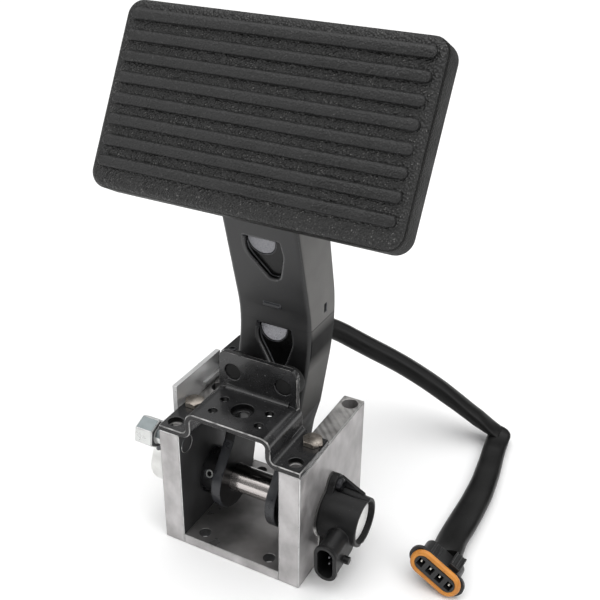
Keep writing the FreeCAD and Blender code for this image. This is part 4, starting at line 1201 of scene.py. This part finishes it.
def makePlug():
    place = turned(*plugAxes(), plug["nose"])
    corner = plug["sealShort"] / 2
    seal = loft([
        outline(plug["sealLong"], plug["sealShort"], corner, inset * mm, height * mm, plug["cornerSteps"])
        for inset, height in plug["sealSection"]
    ], closed=True)
    seal.transform(place)
    piece = addPiece("connector_seal_ring", seal, "connector_seal", ["sealRubber"])
    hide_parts("connector_seal")
    width, depth = plug["contactWidth"], plug["contactDepth"]
    contact = blade(width, depth, plug["contactLow"], plug["contactHigh"], 0.3 * width)
    pitch, count = plug["contactPitch"], plug["contactCount"]
    first = -pitch * (count - 1) / 2
    contacts = repeatInLine(contact, count, (first, 0, 0), (pitch, 0, 0), "tinnedContact")
    contacts.transform(place)
    piece = addPiece("connector_terminal_set", contacts, "connector_terminals")
    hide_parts("connector_terminals")
    ribs = joinMeshes([plugRibs(plug["ribs"]), plugRibs(plug["stem"])])
    ribs.transform(place)
    addPiece("connector_ribs", ribs, "connector_body")


makePlug()
print("plug made")

# cable sleeve: route in metres, then its width and thickness along the way
cable = {
    "route": [
        (-0.03705, 0.053, 0.0825), (-0.03705, 0.070, 0.0825), (-0.0295, 0.0905, 0.0805),
        (-0.0135, 0.108, 0.074), (0.009, 0.118, 0.060), (0.0290, 0.1265, 0.0488), (0.0480, 0.132, 0.0376),
        (0.0660, 0.1357, 0.0262), (0.0821, 0.138, 0.0159), (0.0960, 0.1396, 0.0080),
        (0.0987, 0.1401, 0.0063), (0.0990, 0.1376, 0.0060), (0.1006, 0.122, 0.0054), (0.1030, 0.106, 0.0052),
        (0.1049, 0.090, 0.0052), (0.1059, 0.073, 0.0052), (0.1057, 0.057, 0.0052), (0.1053, 0.041, 0.0052),
        (0.1049, 0.028, 0.0055),
    ],
    "diameter": 0.0136,
    "length": 0.3217,
    # share of the length, width, thickness, roll in degrees
    "section": [
        (0.00, 0.0134, 0.0132, 20), (0.12, 0.0140, 0.0132, 20), (0.30, 0.0150, 0.0130, 20),
        (0.45, 0.0156, 0.0122, 16), (0.55, 0.0156, 0.0096, 8), (0.600, 0.0150, 0.0056, 0),
        (0.622, 0.0146, 0.0046, 0), (0.67, 0.0146, 0.0074, 0), (0.745, 0.0156, 0.0092, -4),
        (0.82, 0.0170, 0.0094, -8), (0.90, 0.0184, 0.0090, -14), (0.96, 0.0190, 0.0086, -22),
        (1.00, 0.0190, 0.0082, -26),
    ],
    "smoothness": 16,       # points of the sleeve's line between two of the route
    "around": 36,
    "squareness": 2.4,
}


def smoothRoute(points):
    data = bpy.data.curves.new("cableRoute", "CURVE")
    data.dimensions = "3D"
    spline = data.splines.new("NURBS")
    spline.points.add(len(points) - 1)
    for control, place in zip(spline.points, points):
        control.co = (*place, 1)
    spline.order_u = 3
    spline.use_endpoint_u = True
    spline.resolution_u = cable["smoothness"]
    holder = bpy.data.objects.new("cableRoute", data)
    bpy.context.scene.collection.objects.link(holder)
    mesh = bakeNodes(holder)
    path = [vertex.co.copy() for vertex in mesh.vertices]
    bpy.data.objects.remove(holder)
    return path


def between(table, share):
    for before, after in zip(table, table[1:]):
        if share <= after[0]:
            part = (share - before[0]) / (after[0] - before[0])
            part = part * part * (3 - 2 * part)
            return [low + (high - low) * part for low, high in zip(before[1:], after[1:])]
    return table[-1][1:]


def sleeveRing(point, along, share):
    side = along.cross(Vector((0, 0, 1))).normalized()
    upward = side.cross(along)
    width, thick, roll = between(cable["section"], share)
    roll = math.radians(roll)
    wide = side * math.cos(roll) + upward * math.sin(roll)
    tall = upward * math.cos(roll) - side * math.sin(roll)
    power = 2 / cable["squareness"]
    ring = []
    for step in range(cable["around"]):
        angle = 2 * math.pi * step / cable["around"]
        x = math.copysign(abs(math.cos(angle)) ** power, math.cos(angle)) * width / 2
        y = math.copysign(abs(math.sin(angle)) ** power, math.sin(angle)) * thick / 2
        ring.append(point + wide * x + tall * y)
    return ring


def makeCable():
    out = plugAxes()[2]
    backs = (plug["bodyRear"] + plug["cableRun"], plug["bodyRear"])
    rear = [Vector(plug["nose"]) - out * back for back in backs]
    path = smoothRoute(cable["route"] + [tuple(place) for place in rear])
    runs = [(after - before).length for before, after in zip(path, path[1:])]
    rings = []
    travelled = 0.0
    for index, point in enumerate(path):
        ahead = path[min(index + 1, len(path) - 1)]
        behind = path[max(index - 1, 0)]
        rings.append(sleeveRing(point, (ahead - behind).normalized(), travelled / sum(runs)))
        travelled += runs[index] if index < len(runs) else 0
    piece = addPiece("cable_sleeve", loft(rings), "cable", ["cableSleeve"])
    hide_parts("cable")
    print("cable centreline", round(sum(runs), 4))


makeCable()
print("cable made")
